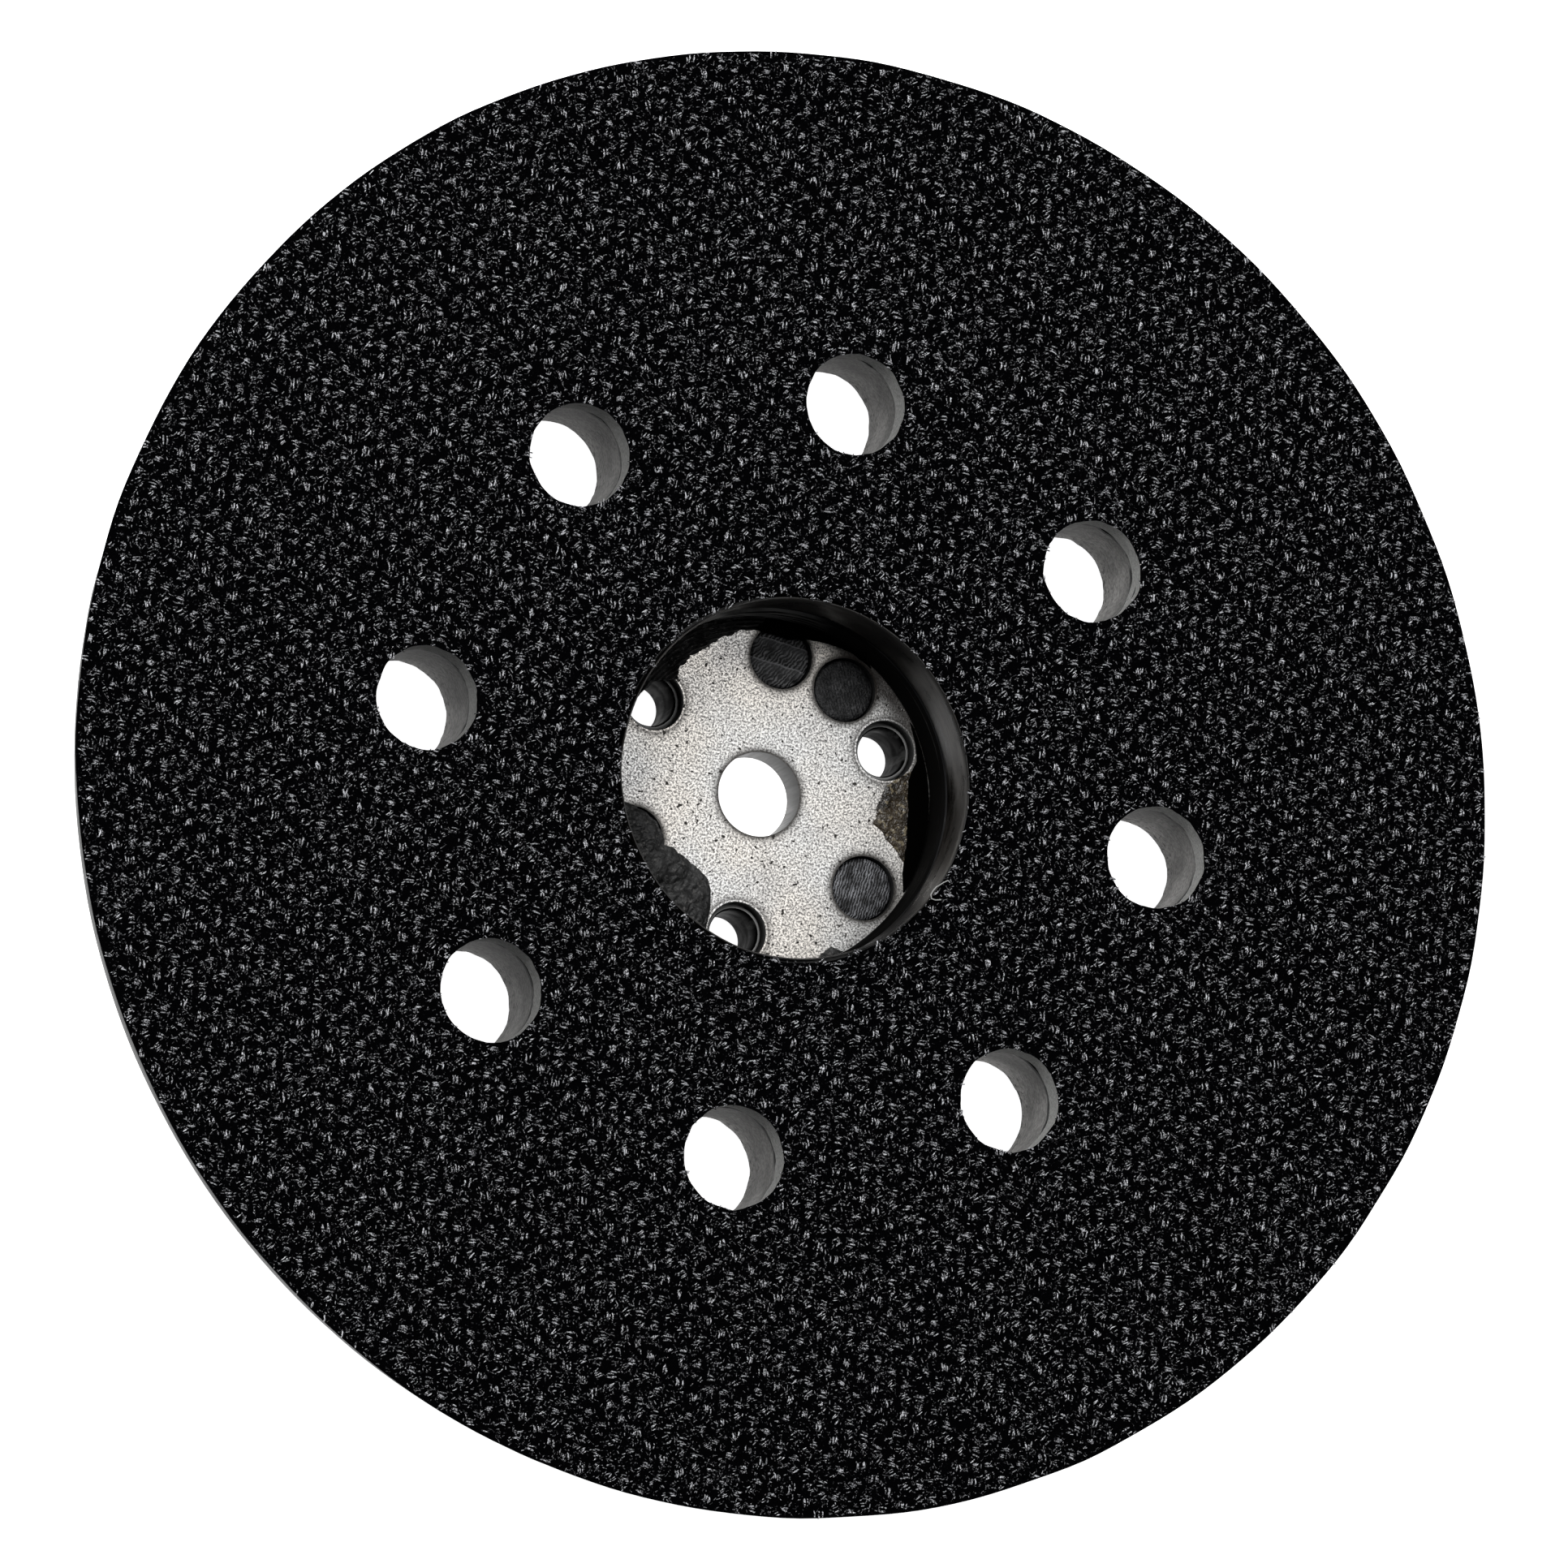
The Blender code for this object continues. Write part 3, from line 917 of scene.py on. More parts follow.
def makeSleeves():
    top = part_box("screw_sleeve_1")[1][2]
    outer, inner, lip = sleeve["outer"], sleeve["inner"], sleeve["lip"]
    profile = [(outer - lip, top), (outer, top - lip), (outer, 0.0), (inner + lip, 0.0), (inner, lip)]
    profile += [(inner, top * 0.5), (inner + sleeve["ridge"], top * 0.56), (inner, top * 0.62)]
    profile += [(inner, top - 2 * lip), (inner + lip, top)]
    for number, hole in enumerate(screwHoles, start=1):
        mesh = turnedMesh(f"screwSleeve{number}", profile, 64)
        mesh.transform(Matrix.Translation((hole.x, hole.y, 0)))
        # the top faces get the painted highlight
        assignByPlace(mesh, lambda centre, normal: normal.z > 0.5 and centre.z > top - lip)
        shadeRound(mesh, 50)
        name, node = f"screwSleeve{number}", f"screw_sleeve_{number}"
        addPiece(name, mesh, ["sleeve", "sleeveTopHighlight"], [node])


# filler in the holes of the other screw patterns; each face set in its own way

plug = {
    "segments": 72, "rings": 16, "sunk": 0.06 * mm, "lumps": 0.05 * mm, "lumpSize": 1.1 * mm,
    "edgeDrop": 0.22 * mm, "creasesAt": (0.55 * mm, -1.15 * mm), "creaseWidth": 0.16 * mm,
}
# crest is the paler painted colour of the ripples' crests
pressed = {
    "pitch": 0.40, "swirl": 4.0, "depth": 0.4, "grain": 0.8, "crest": (0.034, 0.034, 0.035), "crease": 0.0,
    "folds": (),
}
plugLooks = [  # turn in degrees, pitch, crease and folds in millimetres
    {**pressed, "turn": -25, "pitch": 0.26, "swirl": 3.0, "depth": 0.25, "grain": 0.9},
    {
        "turn": 35, "pitch": 0.30, "swirl": 7.0, "depth": 1.0, "grain": 0.25, "crest": (0.070, 0.070, 0.072),
        "crease": 0.25, "folds": (13.25, 11.35),
    },
    {**pressed, "turn": 10},
    {**pressed, "turn": -10},
    {
        **pressed, "turn": 8, "pitch": 0.24, "swirl": 5.5, "depth": 0.9, "grain": 0.5,
        "crest": (0.155, 0.157, 0.168),
    },
]
# fold is the painted highlight colour of the creases
fillerLook = {
    "dark": (0.003, 0.003, 0.0035), "fold": (0.16, 0.16, 0.165), "grain": 0.10 * mm, "pitShare": 0.3,
    "cloud": 0.55 * mm, "relief": 0.06 * mm,
}


# one plug's face: ripples whose spacing and waviness the look gives, with painted light and shade making
# their crests paler and their troughs darker, and thin pale creases painted as highlights
def filler(tree, place, look):
    spun = feedAll(tree, put(tree, "ShaderNodeMapping"), {
        "Vector": place, "Rotation": (0, 0, math.radians(look["turn"])),
    })[0]
    ripple = feedAll(tree, put(tree, "ShaderNodeTexWave", wave_type="BANDS", bands_direction="X"), {
        "Vector": spun, "Scale": 0.314 / (look["pitch"] * mm), "Distortion": look["swirl"], "Detail": 2.0,
        "Detail Scale": 1.6,
    })["Fac"]
    grains = gritAt(tree, place, fillerLook["grain"], fillerLook["pitShare"])["Height"]
    ripple = calc(tree, "MULTIPLY", ripple, look["depth"])
    lift = calc(tree, "ADD", ripple, calc(tree, "MULTIPLY", grains, look["grain"]))
    cloud = speckle(tree, place, fillerLook["cloud"], 3)
    mottled = scaled(tree, look["crest"], remap(tree, cloud, 0.36, 0.62, 0.15, 1.9))
    # painted light and shade: the ripples' crests are paler, their troughs darker
    tint = between(tree, lift, 0.35, 1.1, fillerLook["dark"], mottled)
    for fold in look["folds"]:
        sag = vectorCalc(tree, "DOT_PRODUCT", place, (0.10, 1, 0))
        sag = calc(tree, "MULTIPLY_ADD", cloud, 0.5 * mm, sag)
        sag = calc(tree, "SUBTRACT", sag, fold * mm + 0.25 * mm)
        crease = remap(tree, calc(tree, "ABSOLUTE", sag), 0.10 * mm, 0.03 * mm)
        below = product(tree, remap(tree, sag, -0.9 * mm, -0.1 * mm), calc(tree, "LESS_THAN", sag, 0.0), 0.5)
        # painted light: a lighter band on one side of each crease
        tint = blendColour(tree, below, tint, look["crest"])
        # painted highlight: a thin pale line along each crease
        crease = product(tree, crease, remap(tree, cloud, 0.3, 0.5, 0.3, 0.9))
        tint = blendColour(tree, crease, tint, fillerLook["fold"])
    return {
        "colour": tint, "roughness": 0.55, "gloss": 0.3,
        "normal": bump(tree, lift, fillerLook["relief"], 0.8),
    }


# how far a plug's face stands up at a point, given from the plug's centre
def plugLift(x, y, share, number, look):
    lift = plug["lumps"] * noise.noise(Vector((x, y, 0)) / plug["lumpSize"] + Vector((0, 0, number)))
    fold = y + 0.25 * mm * math.sin(x / (1.3 * mm))
    for offset in plug["creasesAt"]:
        lift += look["crease"] * mm * 0.5 * math.exp(-((fold + offset) / plug["creaseWidth"]) ** 2)
    return lift * (1 - share ** 6) - plug["edgeDrop"] * share ** 14


def makePlug(number, hole, look):
    low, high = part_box(f"filler_plug_{number}")
    radius, top, bottom = (high[0] - low[0]) / 2, high[2], low[2]
    shape = bmesh.new()
    rows = []
    for ring in range(1, plug["rings"] + 1):
        share = ring / plug["rings"]
        row = []
        for turn in turns(plug["segments"]):
            x, y = share * radius * math.cos(turn), share * radius * math.sin(turn)
            z = top - plug["sunk"] + plugLift(x, y, share, number, look)
            row.append(shape.verts.new((hole.x + x, hole.y + y, z)))
        rows.append(row)
    rows.append([shape.verts.new((v.co.x, v.co.y, bottom)) for v in rows[-1]])
    middle = shape.verts.new((hole.x, hole.y, top - plug["sunk"]))
    under = shape.verts.new((hole.x, hole.y, bottom))
    joinRings(shape, rows)
    for i in range(plug["segments"]):
        j = (i + 1) % plug["segments"]
        shape.faces.new((middle, rows[0][i], rows[0][j]))
        shape.faces.new((under, rows[-1][j], rows[-1][i]))
    mesh = meshFrom(f"fillerPlug{number}", shape)
    shadeRound(mesh, 50)
    finishes[f"filler{number}"] = newFinish(f"filler{number}", filler, look)
    addPiece(f"fillerPlug{number}", mesh, [f"filler{number}"], [f"filler_plug_{number}"])


# thin moulding flash, a glue trace and two black sheets of painted shadow on the plate, against the well's
# wall

skinAcross = 30  # faces from a skin's edge to the wall
skins = {  # sizes in millimetres; the edge is (degrees, millimetres from the axis)
    "flashLobes": {
        "finish": "flash", "thick": 0.55, "dome": 1.6, "lumps": 0.9, "rib": 0.0, "rough": 0.16,
        "edge": [
            (184, 15.0), (192, 13.2), (197, 11.1), (201, 10.1), (207, 9.5), (214, 9.25), (218.5, 9.6),
            (223, 9.0), (232, 8.6), (241, 8.5), (248, 8.7), (252, 9.3), (256, 10.9), (258.5, 13.6),
            (263, 15.0),
        ],
    },
    "flashCorner": {
        "finish": "flash", "thick": 0.42, "dome": 5.0, "lumps": 0.25, "rib": 0.55, "rough": 0.22,
        "edge": [
            (97, 15.0), (101, 14.1), (105, 13.95), (110, 13.85), (115, 13.5), (121, 13.1), (128, 13.0),
            (133.5, 12.6), (136.8, 11.95), (139, 12.2), (142, 12.8), (145, 13.05), (151.6, 13.25),
            (157, 13.4), (162, 14.2), (166, 15.0),
        ],
    },
    "flashNick": {
        "finish": "flash", "thick": 0.30, "dome": 3.0, "lumps": 0.4, "rib": 0.0, "rough": 0.2,
        "edge": [(299, 15.0), (302, 14.4), (306, 14.3), (309, 15.0)],
    },
    # painted shadow: a black sheet where the plate lies in the wall's shade
    "sideLand": {
        "finish": "shadow", "thick": 0.22, "dome": 9.0, "lumps": 0.1, "rib": 0.0, "rough": 0.05,
        "edge": [
            (-22, 15.0), (-16.6, 14.2), (-9.2, 13.64), (0.6, 13.2), (12.9, 13.14), (16.9, 13.3), (20, 13.8),
            (23, 14.45), (30, 14.8), (36, 15.0),
        ],
    },
    # painted shadow: a black sheet over the plate and the top plug's edge where they lie in shade
    "topLand": {
        "finish": "shadow", "thick": 0.30, "dome": 9.0, "lumps": 0.1, "rib": 0.0, "rough": 0.06,
        "edge": [
            (58, 15.0), (66, 14.9), (70, 14.75), (76, 14.4), (81, 14.1), (84.5, 13.85), (88, 13.58),
            (94.3, 13.75), (99.4, 14.0), (106, 14.1), (110, 15.0),
        ],
    },
    "glueTrace": {
        "finish": "glue", "thick": 0.13, "dome": 6.0, "lumps": 0.7, "rib": 0.0, "rough": 0.30,
        "edge": [
            (-13, 14.0), (-11, 13.1), (-9, 12.5), (-7, 11.7), (-4, 11.1), (-2, 10.5), (3, 10.4), (7, 10.6),
            (11, 10.9), (15, 11.2), (18, 12.4), (20, 13.6),
        ],
    },
}


# how far from the axis the skin begins at this angle, with small ragged teeth
def skinEdge(skin, angle):
    points = skin["edge"]
    for (low, near), (high, far) in zip(points, points[1:]):
        if low <= angle <= high:
            edge = near + (far - near) * ((angle - low) / (high - low))
            break
    coarse = noise.noise(Vector((angle * 0.25, len(points), 0)))
    fine = noise.noise(Vector((angle * 0.9, len(points), 3)))
    return min((edge + skin["rough"] * (coarse + 0.5 * fine)) * mm, bossIn - 0.1 * mm)


# the skin's thickness at a point, whose share is 0 at its edge and 1 at the wall
def skinThickness(skin, x, y, radius, share, ends):
    fine = noise.noise(Vector((x, y, 5 * mm)) / (0.3 * mm))
    lump = noise.noise(Vector((x, y, 0)) / (0.9 * mm)) + 0.6 * fine
    dome = 0.15 + 0.85 * math.sin(math.pi / 2 * min(1.0, skin["dome"] * share))
    rib = skin["rib"] * math.sin(2 * math.pi * radius / (0.34 * mm) + 1.2 * lump)
    return skin["thick"] * mm * ends * (dome * (1 + skin["lumps"] * lump) + rib)


def makeSkin(name, skin):
    start, end = skin["edge"][0][0], skin["edge"][-1][0]
    steps, across = int((end - start) * 2.5), skinAcross
    shape = bmesh.new()
    tops, bottoms = [], []
    for step in range(steps + 1):
        angle = start + (end - start) * step / steps
        turn = math.radians(angle)
        edge = skinEdge(skin, angle)
        ends = min(1.0, 0.15 + 0.2 * min(step, steps - step))
        topRow, bottomRow = [], []
        for i in range(across + 1):
            share = (i / across) ** 1.5
            radius = edge + (bossIn - 0.02 * mm - edge) * share
            x, y = radius * math.cos(turn), radius * math.sin(turn)
            thick = max(skinThickness(skin, x, y, radius, share, ends), 0.02 * mm)
            topRow.append(shape.verts.new((x, y, plateHigh + 0.02 * mm + thick)))
            bottomRow.append(shape.verts.new((x, y, plateHigh + 0.005 * mm)))
        tops.append(topRow)
        bottoms.append(bottomRow)
    for a in range(steps):
        for i in range(across):
            shape.faces.new((tops[a][i], tops[a][i + 1], tops[a + 1][i + 1], tops[a + 1][i]))
            shape.faces.new((bottoms[a][i], bottoms[a + 1][i], bottoms[a + 1][i + 1], bottoms[a][i + 1]))
        for i in (0, across):
            shape.faces.new((tops[a][i], tops[a + 1][i], bottoms[a + 1][i], bottoms[a][i]))
    for a in (0, steps):
        for i in range(across):
            shape.faces.new((tops[a][i], tops[a][i + 1], bottoms[a][i + 1], bottoms[a][i]))
    mesh = meshFrom(name, shape)
    shadeRound(mesh, 60)
    addPiece(name, mesh, [skin["finish"]])


makeCollar()
makeHub()
makePlate()
makeSleeves()
for number, (hole, look) in enumerate(zip(plugHoles, plugLooks), start=1):
    makePlug(number, hole, look)
for name, skin in skins.items():
    makeSkin(name, skin)
print("well, hub and plate made")


# the hooks: one tree sets out the rows, another the fuzz between them

# a closed thin tube along the points, which lie in the plane square to "across"
def tubeMesh(name, path, radius, sides=3, across=Vector((0, 1, 0))):
    shape = bmesh.new()
    rings = []
    for i, point in enumerate(path):
        before, after = path[max(i - 1, 0)], path[min(i + 1, len(path) - 1)]
        out = (Vector(after) - Vector(before)).normalized().cross(across)
        ring = []
        for side in range(sides):
            turn = 2 * math.pi * (side + 0.5) / sides + math.pi / 2
            offset = across * math.cos(turn) - out * math.sin(turn)
            ring.append(shape.verts.new(Vector(point) + offset * radius))
        rings.append(ring)
    joinRings(shape, rings)
    shape.faces.new(rings[0])
    shape.faces.new(rings[-1])
    return meshFrom(name, shape)


def geometryTree(name, inputs):
    tree = bpy.data.node_groups.new(name, "GeometryNodeTree")
    tree.interface.new_socket(name="Geometry", in_out="OUTPUT", socket_type="NodeSocketGeometry")
    for label, kind in inputs.items():
        tree.interface.new_socket(name=label, in_out="INPUT", socket_type="NodeSocket" + kind)
    return tree, put(tree, "NodeGroupInput").outputs, put(tree, "NodeGroupOutput").inputs


# the salt keeps one draw apart from the next
def randomVector(tree, low, high, seed, salt):
    node = put(tree, "FunctionNodeRandomValue", data_type="FLOAT_VECTOR")
    return feedAll(tree, node, {0: low, 1: high, "Seed": calc(tree, "ADD", seed, salt)})[0]


def randomValue(tree, low, high, seed, salt):
    node = put(tree, "FunctionNodeRandomValue", data_type="FLOAT")
    return feedAll(tree, node, {2: low, 3: high, "Seed": calc(tree, "ADD", seed, salt)})[1]


def turnAboutZ(tree, vector, angle):
    node = put(tree, "ShaderNodeVectorRotate", rotation_type="Z_AXIS")
    return feedAll(tree, node, {"Vector": vector, "Angle": angle})[0]


# true past the rim, in the well and in a dust hole; the holes are folded onto one by angle
def offTheCloth(tree, given):
    flat = stretched(tree, put(tree, "GeometryNodeInputPosition").outputs[0], 1, 1, 0)
    radius = vectorCalc(tree, "LENGTH", flat)
    parts = splitXyz(tree, flat)
    turn = calc(tree, "ARCTAN2", parts[1], parts[0])
    step = calc(tree, "DIVIDE", 2 * math.pi, given["Hole Count"])
    nearest = calc(tree, "MULTIPLY", step, calc(tree, "ROUND", calc(tree, "DIVIDE", turn, step)))
    turn = calc(tree, "SUBTRACT", turn, nearest)
    across = calc(tree, "MULTIPLY", radius, calc(tree, "COSINE", turn))
    across = calc(tree, "SUBTRACT", across, given["Hole Pitch Radius"])
    along = calc(tree, "MULTIPLY", radius, calc(tree, "SINE", turn))
    toHole = vectorCalc(tree, "LENGTH", makeXyz(tree, across, along))
    off = calc(tree, "LESS_THAN", toHole, given["Hole Radius"])
    off = calc(tree, "MAXIMUM", off, calc(tree, "LESS_THAN", radius, given["Inner Radius"]))
    return calc(tree, "MAXIMUM", off, calc(tree, "GREATER_THAN", radius, given["Outer Radius"]))


# a copy of the given object on every point that is on the cloth, each with its own tone
def plantCopies(tree, points, given, turn, lean, size):
    keep = put(tree, "GeometryNodeDeleteGeometry", domain="POINT")
    kept = feedAll(tree, keep, {"Geometry": points, "Selection": offTheCloth(tree, given)})[0]
    shape = feedAll(tree, put(tree, "GeometryNodeObjectInfo"), {"Object": given["Shape"]})["Geometry"]
    tilt = scaled(tree, randomVector(tree, (-1, -1, 0), (1, 1, 0), given["Seed"], 11), lean)
    planted = feedAll(tree, put(tree, "GeometryNodeInstanceOnPoints"), {
        "Points": kept, "Instance": shape, "Scale": size,
        "Rotation": vectorCalc(tree, "ADD", tilt, makeXyz(tree, z=turn)),
    })[0]
    tone = put(tree, "GeometryNodeStoreNamedAttribute", data_type="FLOAT", domain="INSTANCE")
    toned = feedAll(tree, tone, {
        "Geometry": planted, "Name": "tone", "Value": randomValue(tree, 0.0, 1.0, given["Seed"], 17),
    })[0]
    real = feedAll(tree, put(tree, "GeometryNodeRealizeInstances"), {"Geometry": toned})[0]
    paint = put(tree, "GeometryNodeSetMaterial")
    return feedAll(tree, paint, {"Geometry": real, "Material": given["Material"]})[0]


clothInputs = {
    "Inner Radius": "Float", "Outer Radius": "Float", "Hole Pitch Radius": "Float", "Hole Radius": "Float",
    "Hole Count": "Int", "Base Height": "Float", "Lean": "Float", "Shape": "Object", "Material": "Material",
    "Seed": "Int",
}


def makeRowTree():
    tree, given, result = geometryTree("hookRows", {
        "Hook Pitch": "Float", "Repeat Pitch": "Float", "Skew": "Float", "Row Angle": "Float",
        "Hooks Across": "Int", "Repeats": "Int", "Offset": "Float", "Shift": "Float", "Crown Angle": "Float",
        "Filaments": "Int", "Spread": "Float", "Scatter": "Float", "Crown Size": "Float",
        "Height Spread": "Float", **clothInputs,
    })
    seed = given["Seed"]
    grid = feedAll(tree, put(tree, "GeometryNodeMeshGrid"), {
        "Vertices X": given["Hooks Across"], "Vertices Y": given["Repeats"],
        "Size X": calc(tree, "SUBTRACT", given["Hooks Across"], 1.0),
        "Size Y": calc(tree, "SUBTRACT", given["Repeats"], 1.0),
    })["Mesh"]
    cell = splitXyz(tree, put(tree, "GeometryNodeInputPosition").outputs[0])
    x = calc(tree, "ADD", calc(tree, "MULTIPLY", cell[0], given["Hook Pitch"]), given["Shift"])
    x = calc(tree, "ADD", x, calc(tree, "MULTIPLY", cell[1], given["Skew"]))
    y = calc(tree, "ADD", calc(tree, "MULTIPLY", cell[1], given["Repeat Pitch"]), given["Offset"])
    spot = turnAboutZ(tree, makeXyz(tree, x, y, given["Base Height"]), given["Row Angle"])
    laid = feedAll(tree, put(tree, "GeometryNodeSetPosition"), {"Geometry": grid, "Position": spot})[0]
    points = feedAll(tree, put(tree, "GeometryNodeMeshToPoints"), {"Mesh": laid})[0]
    copies = put(tree, "GeometryNodeDuplicateElements", domain="POINT")
    feedAll(tree, copies, {"Geometry": points, "Amount": given["Filaments"]})
    middle = calc(tree, "MULTIPLY", calc(tree, "SUBTRACT", given["Filaments"], 1.0), 0.5)
    rank = calc(tree, "SUBTRACT", copies.outputs["Duplicate Index"], middle)
    rank = calc(tree, "MULTIPLY", rank, given["Spread"])
    stray = scaled(tree, randomVector(tree, (-1, -1, 0), (1, 1, 0), seed, 1), given["Scatter"])
    drop = calc(tree, "MULTIPLY", randomValue(tree, -1.0, 0.0, seed, 3), given["Height Spread"])
    local = vectorCalc(tree, "ADD", stray, makeXyz(tree, 0.0, rank, drop))
    bunches = feedAll(tree, put(tree, "GeometryNodeSetPosition"), {
        "Geometry": copies.outputs["Geometry"], "Offset": turnAboutZ(tree, local, given["Crown Angle"]),
    })[0]
    turn = calc(tree, "ADD", given["Crown Angle"], randomValue(tree, -0.28, 0.28, seed, 5))
    size = randomVector(tree, (0.75, 0.9, 0.92), (1.15, 1.15, 1.0), seed, 7)
    size = scaled(tree, size, given["Crown Size"])
    feed(tree, result[0], plantCopies(tree, bunches, given, turn, given["Lean"], size))
    return tree


def makeFuzzTree():
    tree, given, result = geometryTree("clothFuzz", {
        "Fibres": "Int", "Height Spread": "Float", **clothInputs,
    })
    seed = given["Seed"]
    share = randomValue(tree, 0.0, 1.0, seed, 1)
    radius = calc(tree, "MULTIPLY", calc(tree, "SQRT", share), given["Outer Radius"])
    height = calc(tree, "ADD", given["Base Height"], randomValue(tree, 0.0, given["Height Spread"], seed, 2))
    spot = turnAboutZ(tree, makeXyz(tree, radius, 0.0, height), randomValue(tree, 0.0, 2 * math.pi, seed, 3))
    cloud = feedAll(tree, put(tree, "GeometryNodePoints"), {"Count": given["Fibres"], "Position": spot})[0]
    turn = randomValue(tree, 0.0, 2 * math.pi, seed, 4)
    size = randomVector(tree, (0.6, 0.8, 0.6), (1.4, 1.2, 1.3), seed, 7)
    feed(tree, result[0], plantCopies(tree, cloud, given, turn, given["Lean"], size))
    return tree


# the tree's result as a plain mesh
def runTree(name, tree, values):
    holder = addObject(name + "Holder", bpy.data.meshes.new(name + "Holder"))
    modifier = holder.modifiers.new("nodes", "NODES")
    modifier.node_group = tree
    sockets = {item.name: item.identifier for item in tree.interface.items_tree if item.in_out == "INPUT"}
    for label, value in values.items():
        modifier[sockets[label]] = value
    mesh = settled(holder)
    mesh.name = name
    return mesh


hooks = {
    "pitch": 1.617 * mm, "repeat": 5.615 * mm, "skew": -0.039 * mm, "rowAngle": -32, "across": 83,
    "repeats": 27, "reach": 0.25 * mm, "thread": 0.062 * mm, "scatter": 0.16 * mm, "lean": 0.20,
    "heightSpread": 0.10 * mm,
    "rise": 0.05 * mm,  # how far the crowns stand over the sheet's top
    "crown": [
        (-0.98, -1.0), (-1.0, -0.50), (-0.66, -0.14), (0.0, 0.0), (0.66, -0.12), (1.0, -0.42), (0.9, -0.72),
    ],
}
hookRows = [  # offset along the repeat and shift along the row in millimetres, crown angle in degrees
    {"offset": 0.0, "shift": 0.0, "crown": 132, "filaments": 4, "spread": 0.15, "size": 1.0},
    {"offset": -1.533, "shift": 0.693, "crown": 27, "filaments": 4, "spread": 0.12, "size": 0.95},
    {"offset": -2.28, "shift": 0.476, "crown": 60, "filaments": 3, "spread": 0.16, "size": 0.60},
    {"offset": -3.483, "shift": 0.196, "crown": 29, "filaments": 4, "spread": 0.14, "size": 1.0},
    {"offset": -4.251, "shift": 0.774, "crown": 77, "filaments": 4, "spread": 0.15, "size": 0.82},
]
fuzz = {
    "pieces": 4, "fibres": 24000, "thread": 0.042 * mm, "heightSpread": 0.14 * mm, "sunk": 0.04 * mm,
    "lean": 0.5, "bend": [(-0.14, -0.02), (0.13, 0.05)],
}


def makeHooks():
    base = sheetLow + layers["groundThick"]
    tips = hookTop + hooks["rise"]
    arc = [(x * hooks["reach"], 0, z * (tips - base)) for x, z in hooks["crown"]]
    hookBlank = addObject("hookBlank", tubeMesh("hookBlank", arc, hooks["thread"]))
    fibre = [(x * mm, 0, z * mm) for x, z in fuzz["bend"]]
    fuzzBlank = addObject("fluffBlank", tubeMesh("fluffBlank", fibre, fuzz["thread"]))
    edges = {
        "Inner Radius": collarIn + 0.05 * mm, "Outer Radius": padRadius - 0.22 * mm,
        "Hole Pitch Radius": dustPitch, "Hole Radius": dustRadius - layers["clothOverhang"],
        "Hole Count": len(dustHoles),
    }
    rowTree, fuzzTree = makeRowTree(), makeFuzzTree()
    pieces = []
    for number, row in enumerate(hookRows, start=1):
        mesh = runTree(f"hookRow{number}", rowTree, {
            **edges, "Hook Pitch": hooks["pitch"], "Repeat Pitch": hooks["repeat"], "Skew": hooks["skew"],
            "Row Angle": math.radians(hooks["rowAngle"]), "Hooks Across": hooks["across"],
            "Repeats": hooks["repeats"], "Offset": row["offset"] * mm, "Shift": row["shift"] * mm,
            "Crown Angle": math.radians(row["crown"] + hooks["rowAngle"]), "Filaments": row["filaments"],
            "Spread": row["spread"] * mm, "Scatter": hooks["scatter"], "Crown Size": row["size"],
            "Height Spread": hooks["heightSpread"], "Base Height": tips, "Lean": hooks["lean"],
            "Shape": hookBlank, "Material": finishes["hook"], "Seed": 100 * number,
        })
        pieces.append(addPiece(f"hookRow{number}", mesh, ["hook"]))
    for number in range(1, fuzz["pieces"] + 1):
        mesh = runTree(f"clothFuzz{number}", fuzzTree, {
            **edges, "Fibres": fuzz["fibres"], "Height Spread": fuzz["heightSpread"],
            "Base Height": base - fuzz["sunk"], "Lean": fuzz["lean"], "Shape": fuzzBlank,
            "Material": finishes["fuzz"], "Seed": 1000 + 100 * number,
        })
        pieces.append(addPiece(f"clothFuzz{number}", mesh, ["fuzz"]))
    for blank in (hookBlank, fuzzBlank):
        bpy.data.objects.remove(blank)
    for piece in pieces:
        print(" ", piece.name, len(piece.data.polygons), "faces")
    return pieces


# a curl of pale fibre caught on the well's edge: (x, y) millimetres, laid on the hooks

curl = {
    "thick": 0.055 * mm, "above": 0.06 * mm,
    "path": [
        (14.55, -5.79), (14.20, -6.04), (13.90, -6.33), (13.62, -6.56), (13.40, -6.92), (13.27, -7.28),
        (13.36, -7.60), (13.72, -7.66), (14.22, -7.53),
    ],
}


def makeLint():
    path = [(x * mm, y * mm, hookTop + curl["above"]) for x, y in curl["path"]]
    mesh = tubeMesh("lintCurl", path, curl["thick"], 6, Vector((0, 0, 1)))
    shadeRound(mesh, 60)
    addPiece("lintCurl", mesh, ["lint"])


hookPieces = makeHooks()
makeLint()
print("hooks planted")


# the studio: a light table under the pad, soft lights above

studio = {
    "aimShift": (-0.932 * mm, -0.718 * mm), "azimuth": -145.474, "tilt": 19.606, "roll": 9.167,
    "distance": 0.93994, "lens": 258.07, "floorSize": 6.0, "tableGlow": 1.0,
    "roomColour": (0.9, 0.95, 1.0, 1), "roomGlow": 0.10,
}
lamps = {
    "key": {"azimuth": 150, "tilt": 38, "distance": 0.75, "size": 0.35, "power": 4.2},
    "fill": {"azimuth": 20, "tilt": 35, "distance": 0.9, "size": 0.5, "power": 1.2},
    "top": {"azimuth": 35, "tilt": 12, "distance": 1.1, "size": 0.25, "power": 1.5},
}


def direction(azimuth, tilt):
    a, t = math.radians(azimuth), math.radians(tilt)
    return Vector((math.cos(a) * math.sin(t), math.sin(a) * math.sin(t), math.cos(t)))


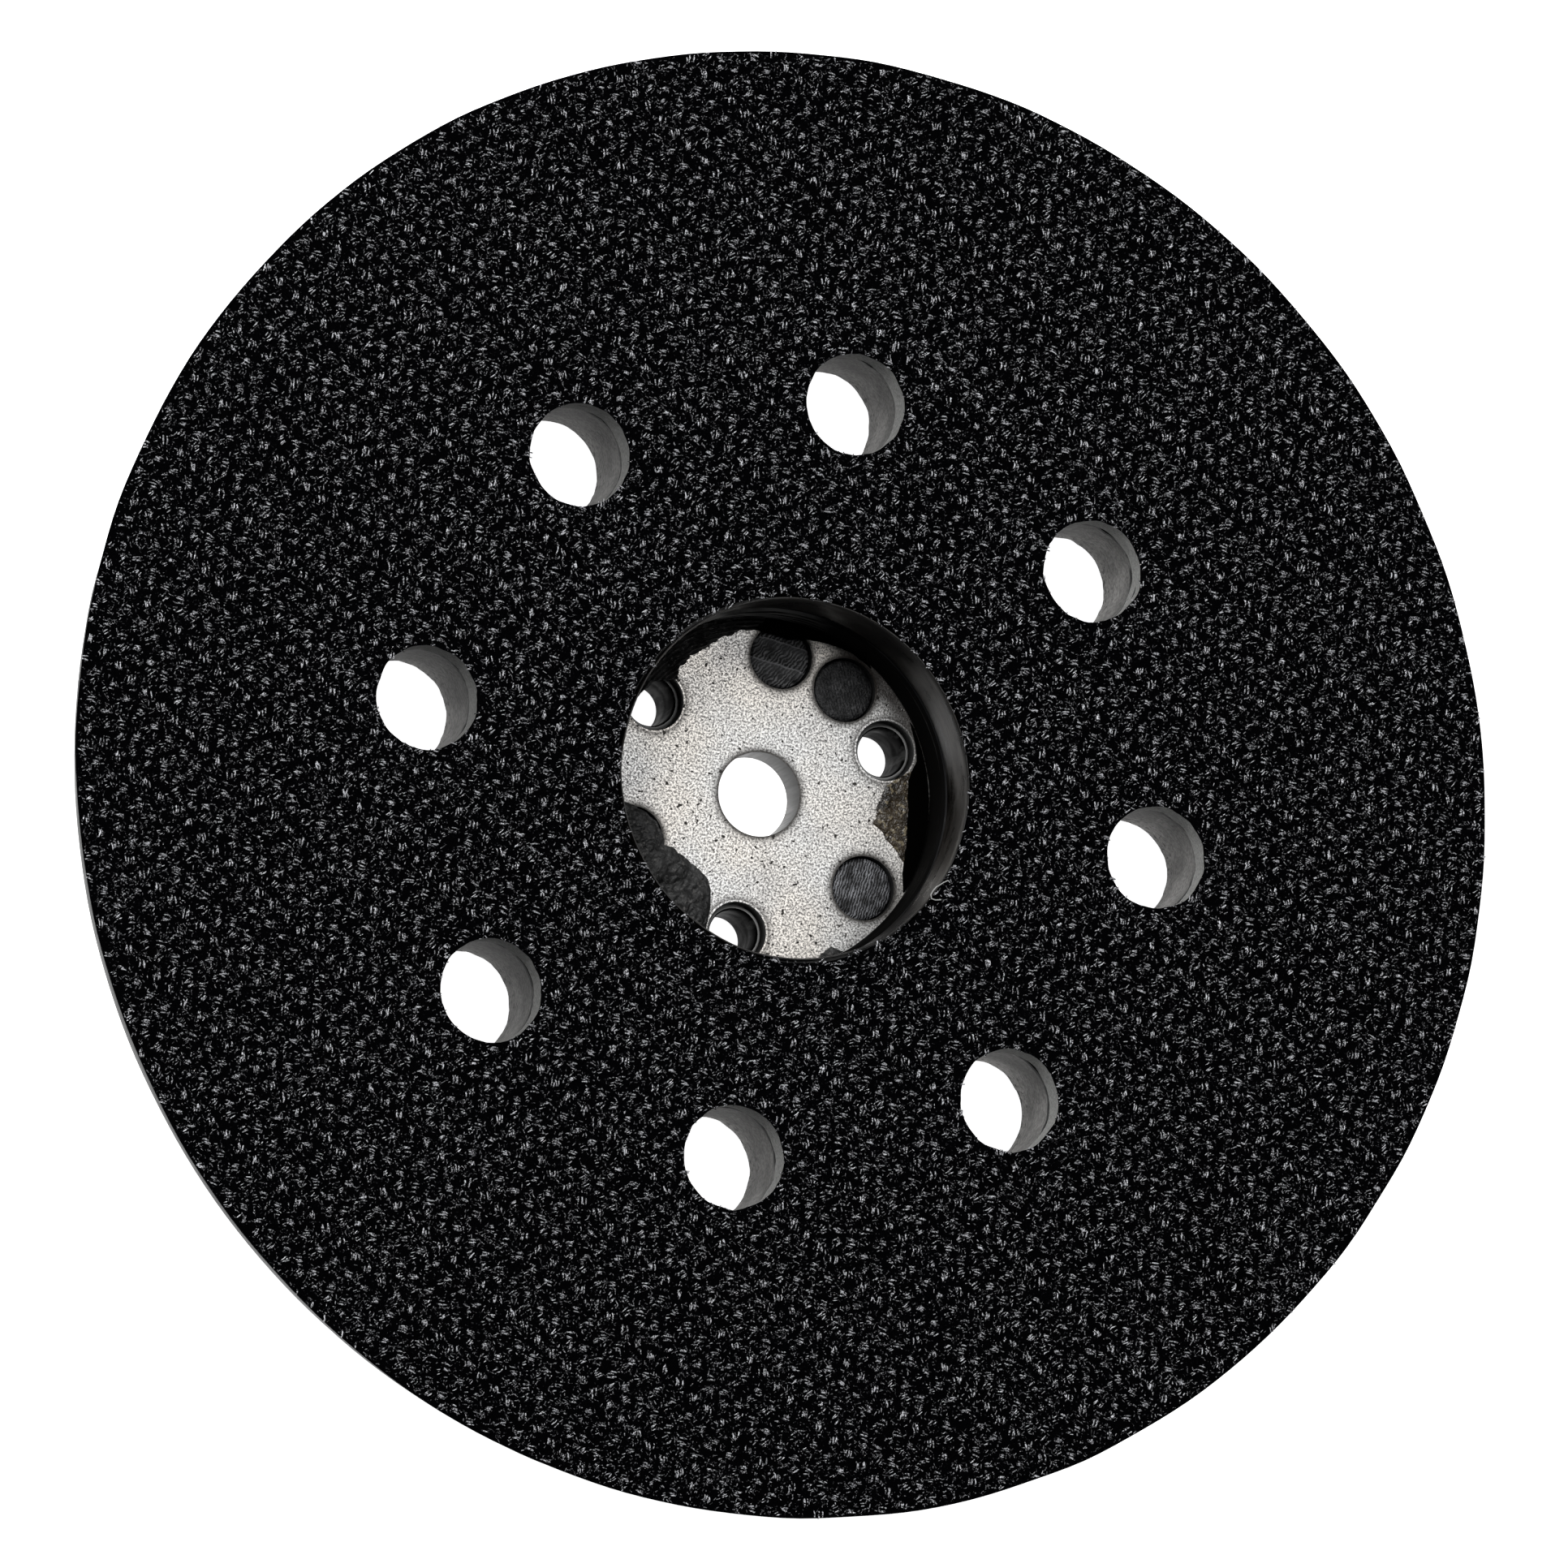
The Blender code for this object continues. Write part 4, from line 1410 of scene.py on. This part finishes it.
def makeCamera():
    aim = Vector((*studio["aimShift"], hookTop))
    back = direction(studio["azimuth"], studio["tilt"])
    side = Vector((0, 1, 0)).cross(back).normalized()
    roll = math.radians(studio["roll"])
    right = math.cos(roll) * side + math.sin(roll) * back.cross(side)
    data = bpy.data.cameras.new("camera")
    data.lens, data.sensor_width = studio["lens"], 36
    data.clip_start, data.clip_end = 0.01, 50
    camera = addObject("camera", data)
    place = Matrix((right, back.cross(right), back)).transposed().to_4x4()
    place.translation = aim + back * studio["distance"]
    camera.matrix_world = place
    bpy.context.scene.camera = camera


def makeLamp(name, look):
    data = bpy.data.lights.new(name, "AREA")
    data.shape, data.size, data.energy = "DISK", look["size"], look["power"]
    lamp = addObject(name, data)
    away = direction(look["azimuth"], look["tilt"])
    lamp.location = away * look["distance"]
    lamp.rotation_euler = away.to_track_quat("Z", "Y").to_euler()


# a mix of two shaders into the output node
def mixShaders(tree, factor, first, second, output):
    mix = put(tree, "ShaderNodeMixShader")
    mixed = feedAll(tree, mix, {0: factor, 1: first.outputs[0], 2: second.outputs[0]})[0]
    tree.links.new(mixed, tree.nodes[output].inputs[0])


# the table glows, and from below it can be seen through
def makeFloor():
    half = studio["floorSize"] / 2
    mesh = bpy.data.meshes.new("lightTable")
    corners = [(-half, -half, 0), (half, -half, 0), (half, half, 0), (-half, half, 0)]
    mesh.from_pydata(corners, [], [(0, 1, 2, 3)])
    floor = addObject("lightTable", mesh)
    material, tree, shader = newMaterial("lightTable")
    feedAll(tree, shader, {
        "Base Color": (0.9, 0.9, 0.9, 1), "Roughness": 0.9, "Emission Color": (1, 1, 1, 1),
        "Emission Strength": studio["tableGlow"],
    })
    below = put(tree, "ShaderNodeNewGeometry").outputs["Backfacing"]
    mixShaders(tree, below, shader, put(tree, "ShaderNodeBsdfTransparent"), "Material Output")
    mesh.materials.append(material)


# a white wall for the camera, and a faint room light for everything else
def makeWorld():
    world = bpy.data.worlds.new("studio")
    world.use_nodes = True
    tree = world.node_tree
    room = tree.nodes["Background"]
    feedAll(tree, room, {0: studio["roomColour"], 1: studio["roomGlow"]})
    wall = put(tree, "ShaderNodeBackground")
    wall.inputs[0].default_value = (1.0, 1.0, 1.0, 1)
    seen = put(tree, "ShaderNodeLightPath").outputs["Is Camera Ray"]
    mixShaders(tree, seen, room, wall, "World Output")
    bpy.context.scene.world = world


makeCamera()
for name, look in lamps.items():
    makeLamp(name, look)
makeFloor()
makeWorld()
bpy.context.scene.view_settings.view_transform = "Standard"
print("studio made")
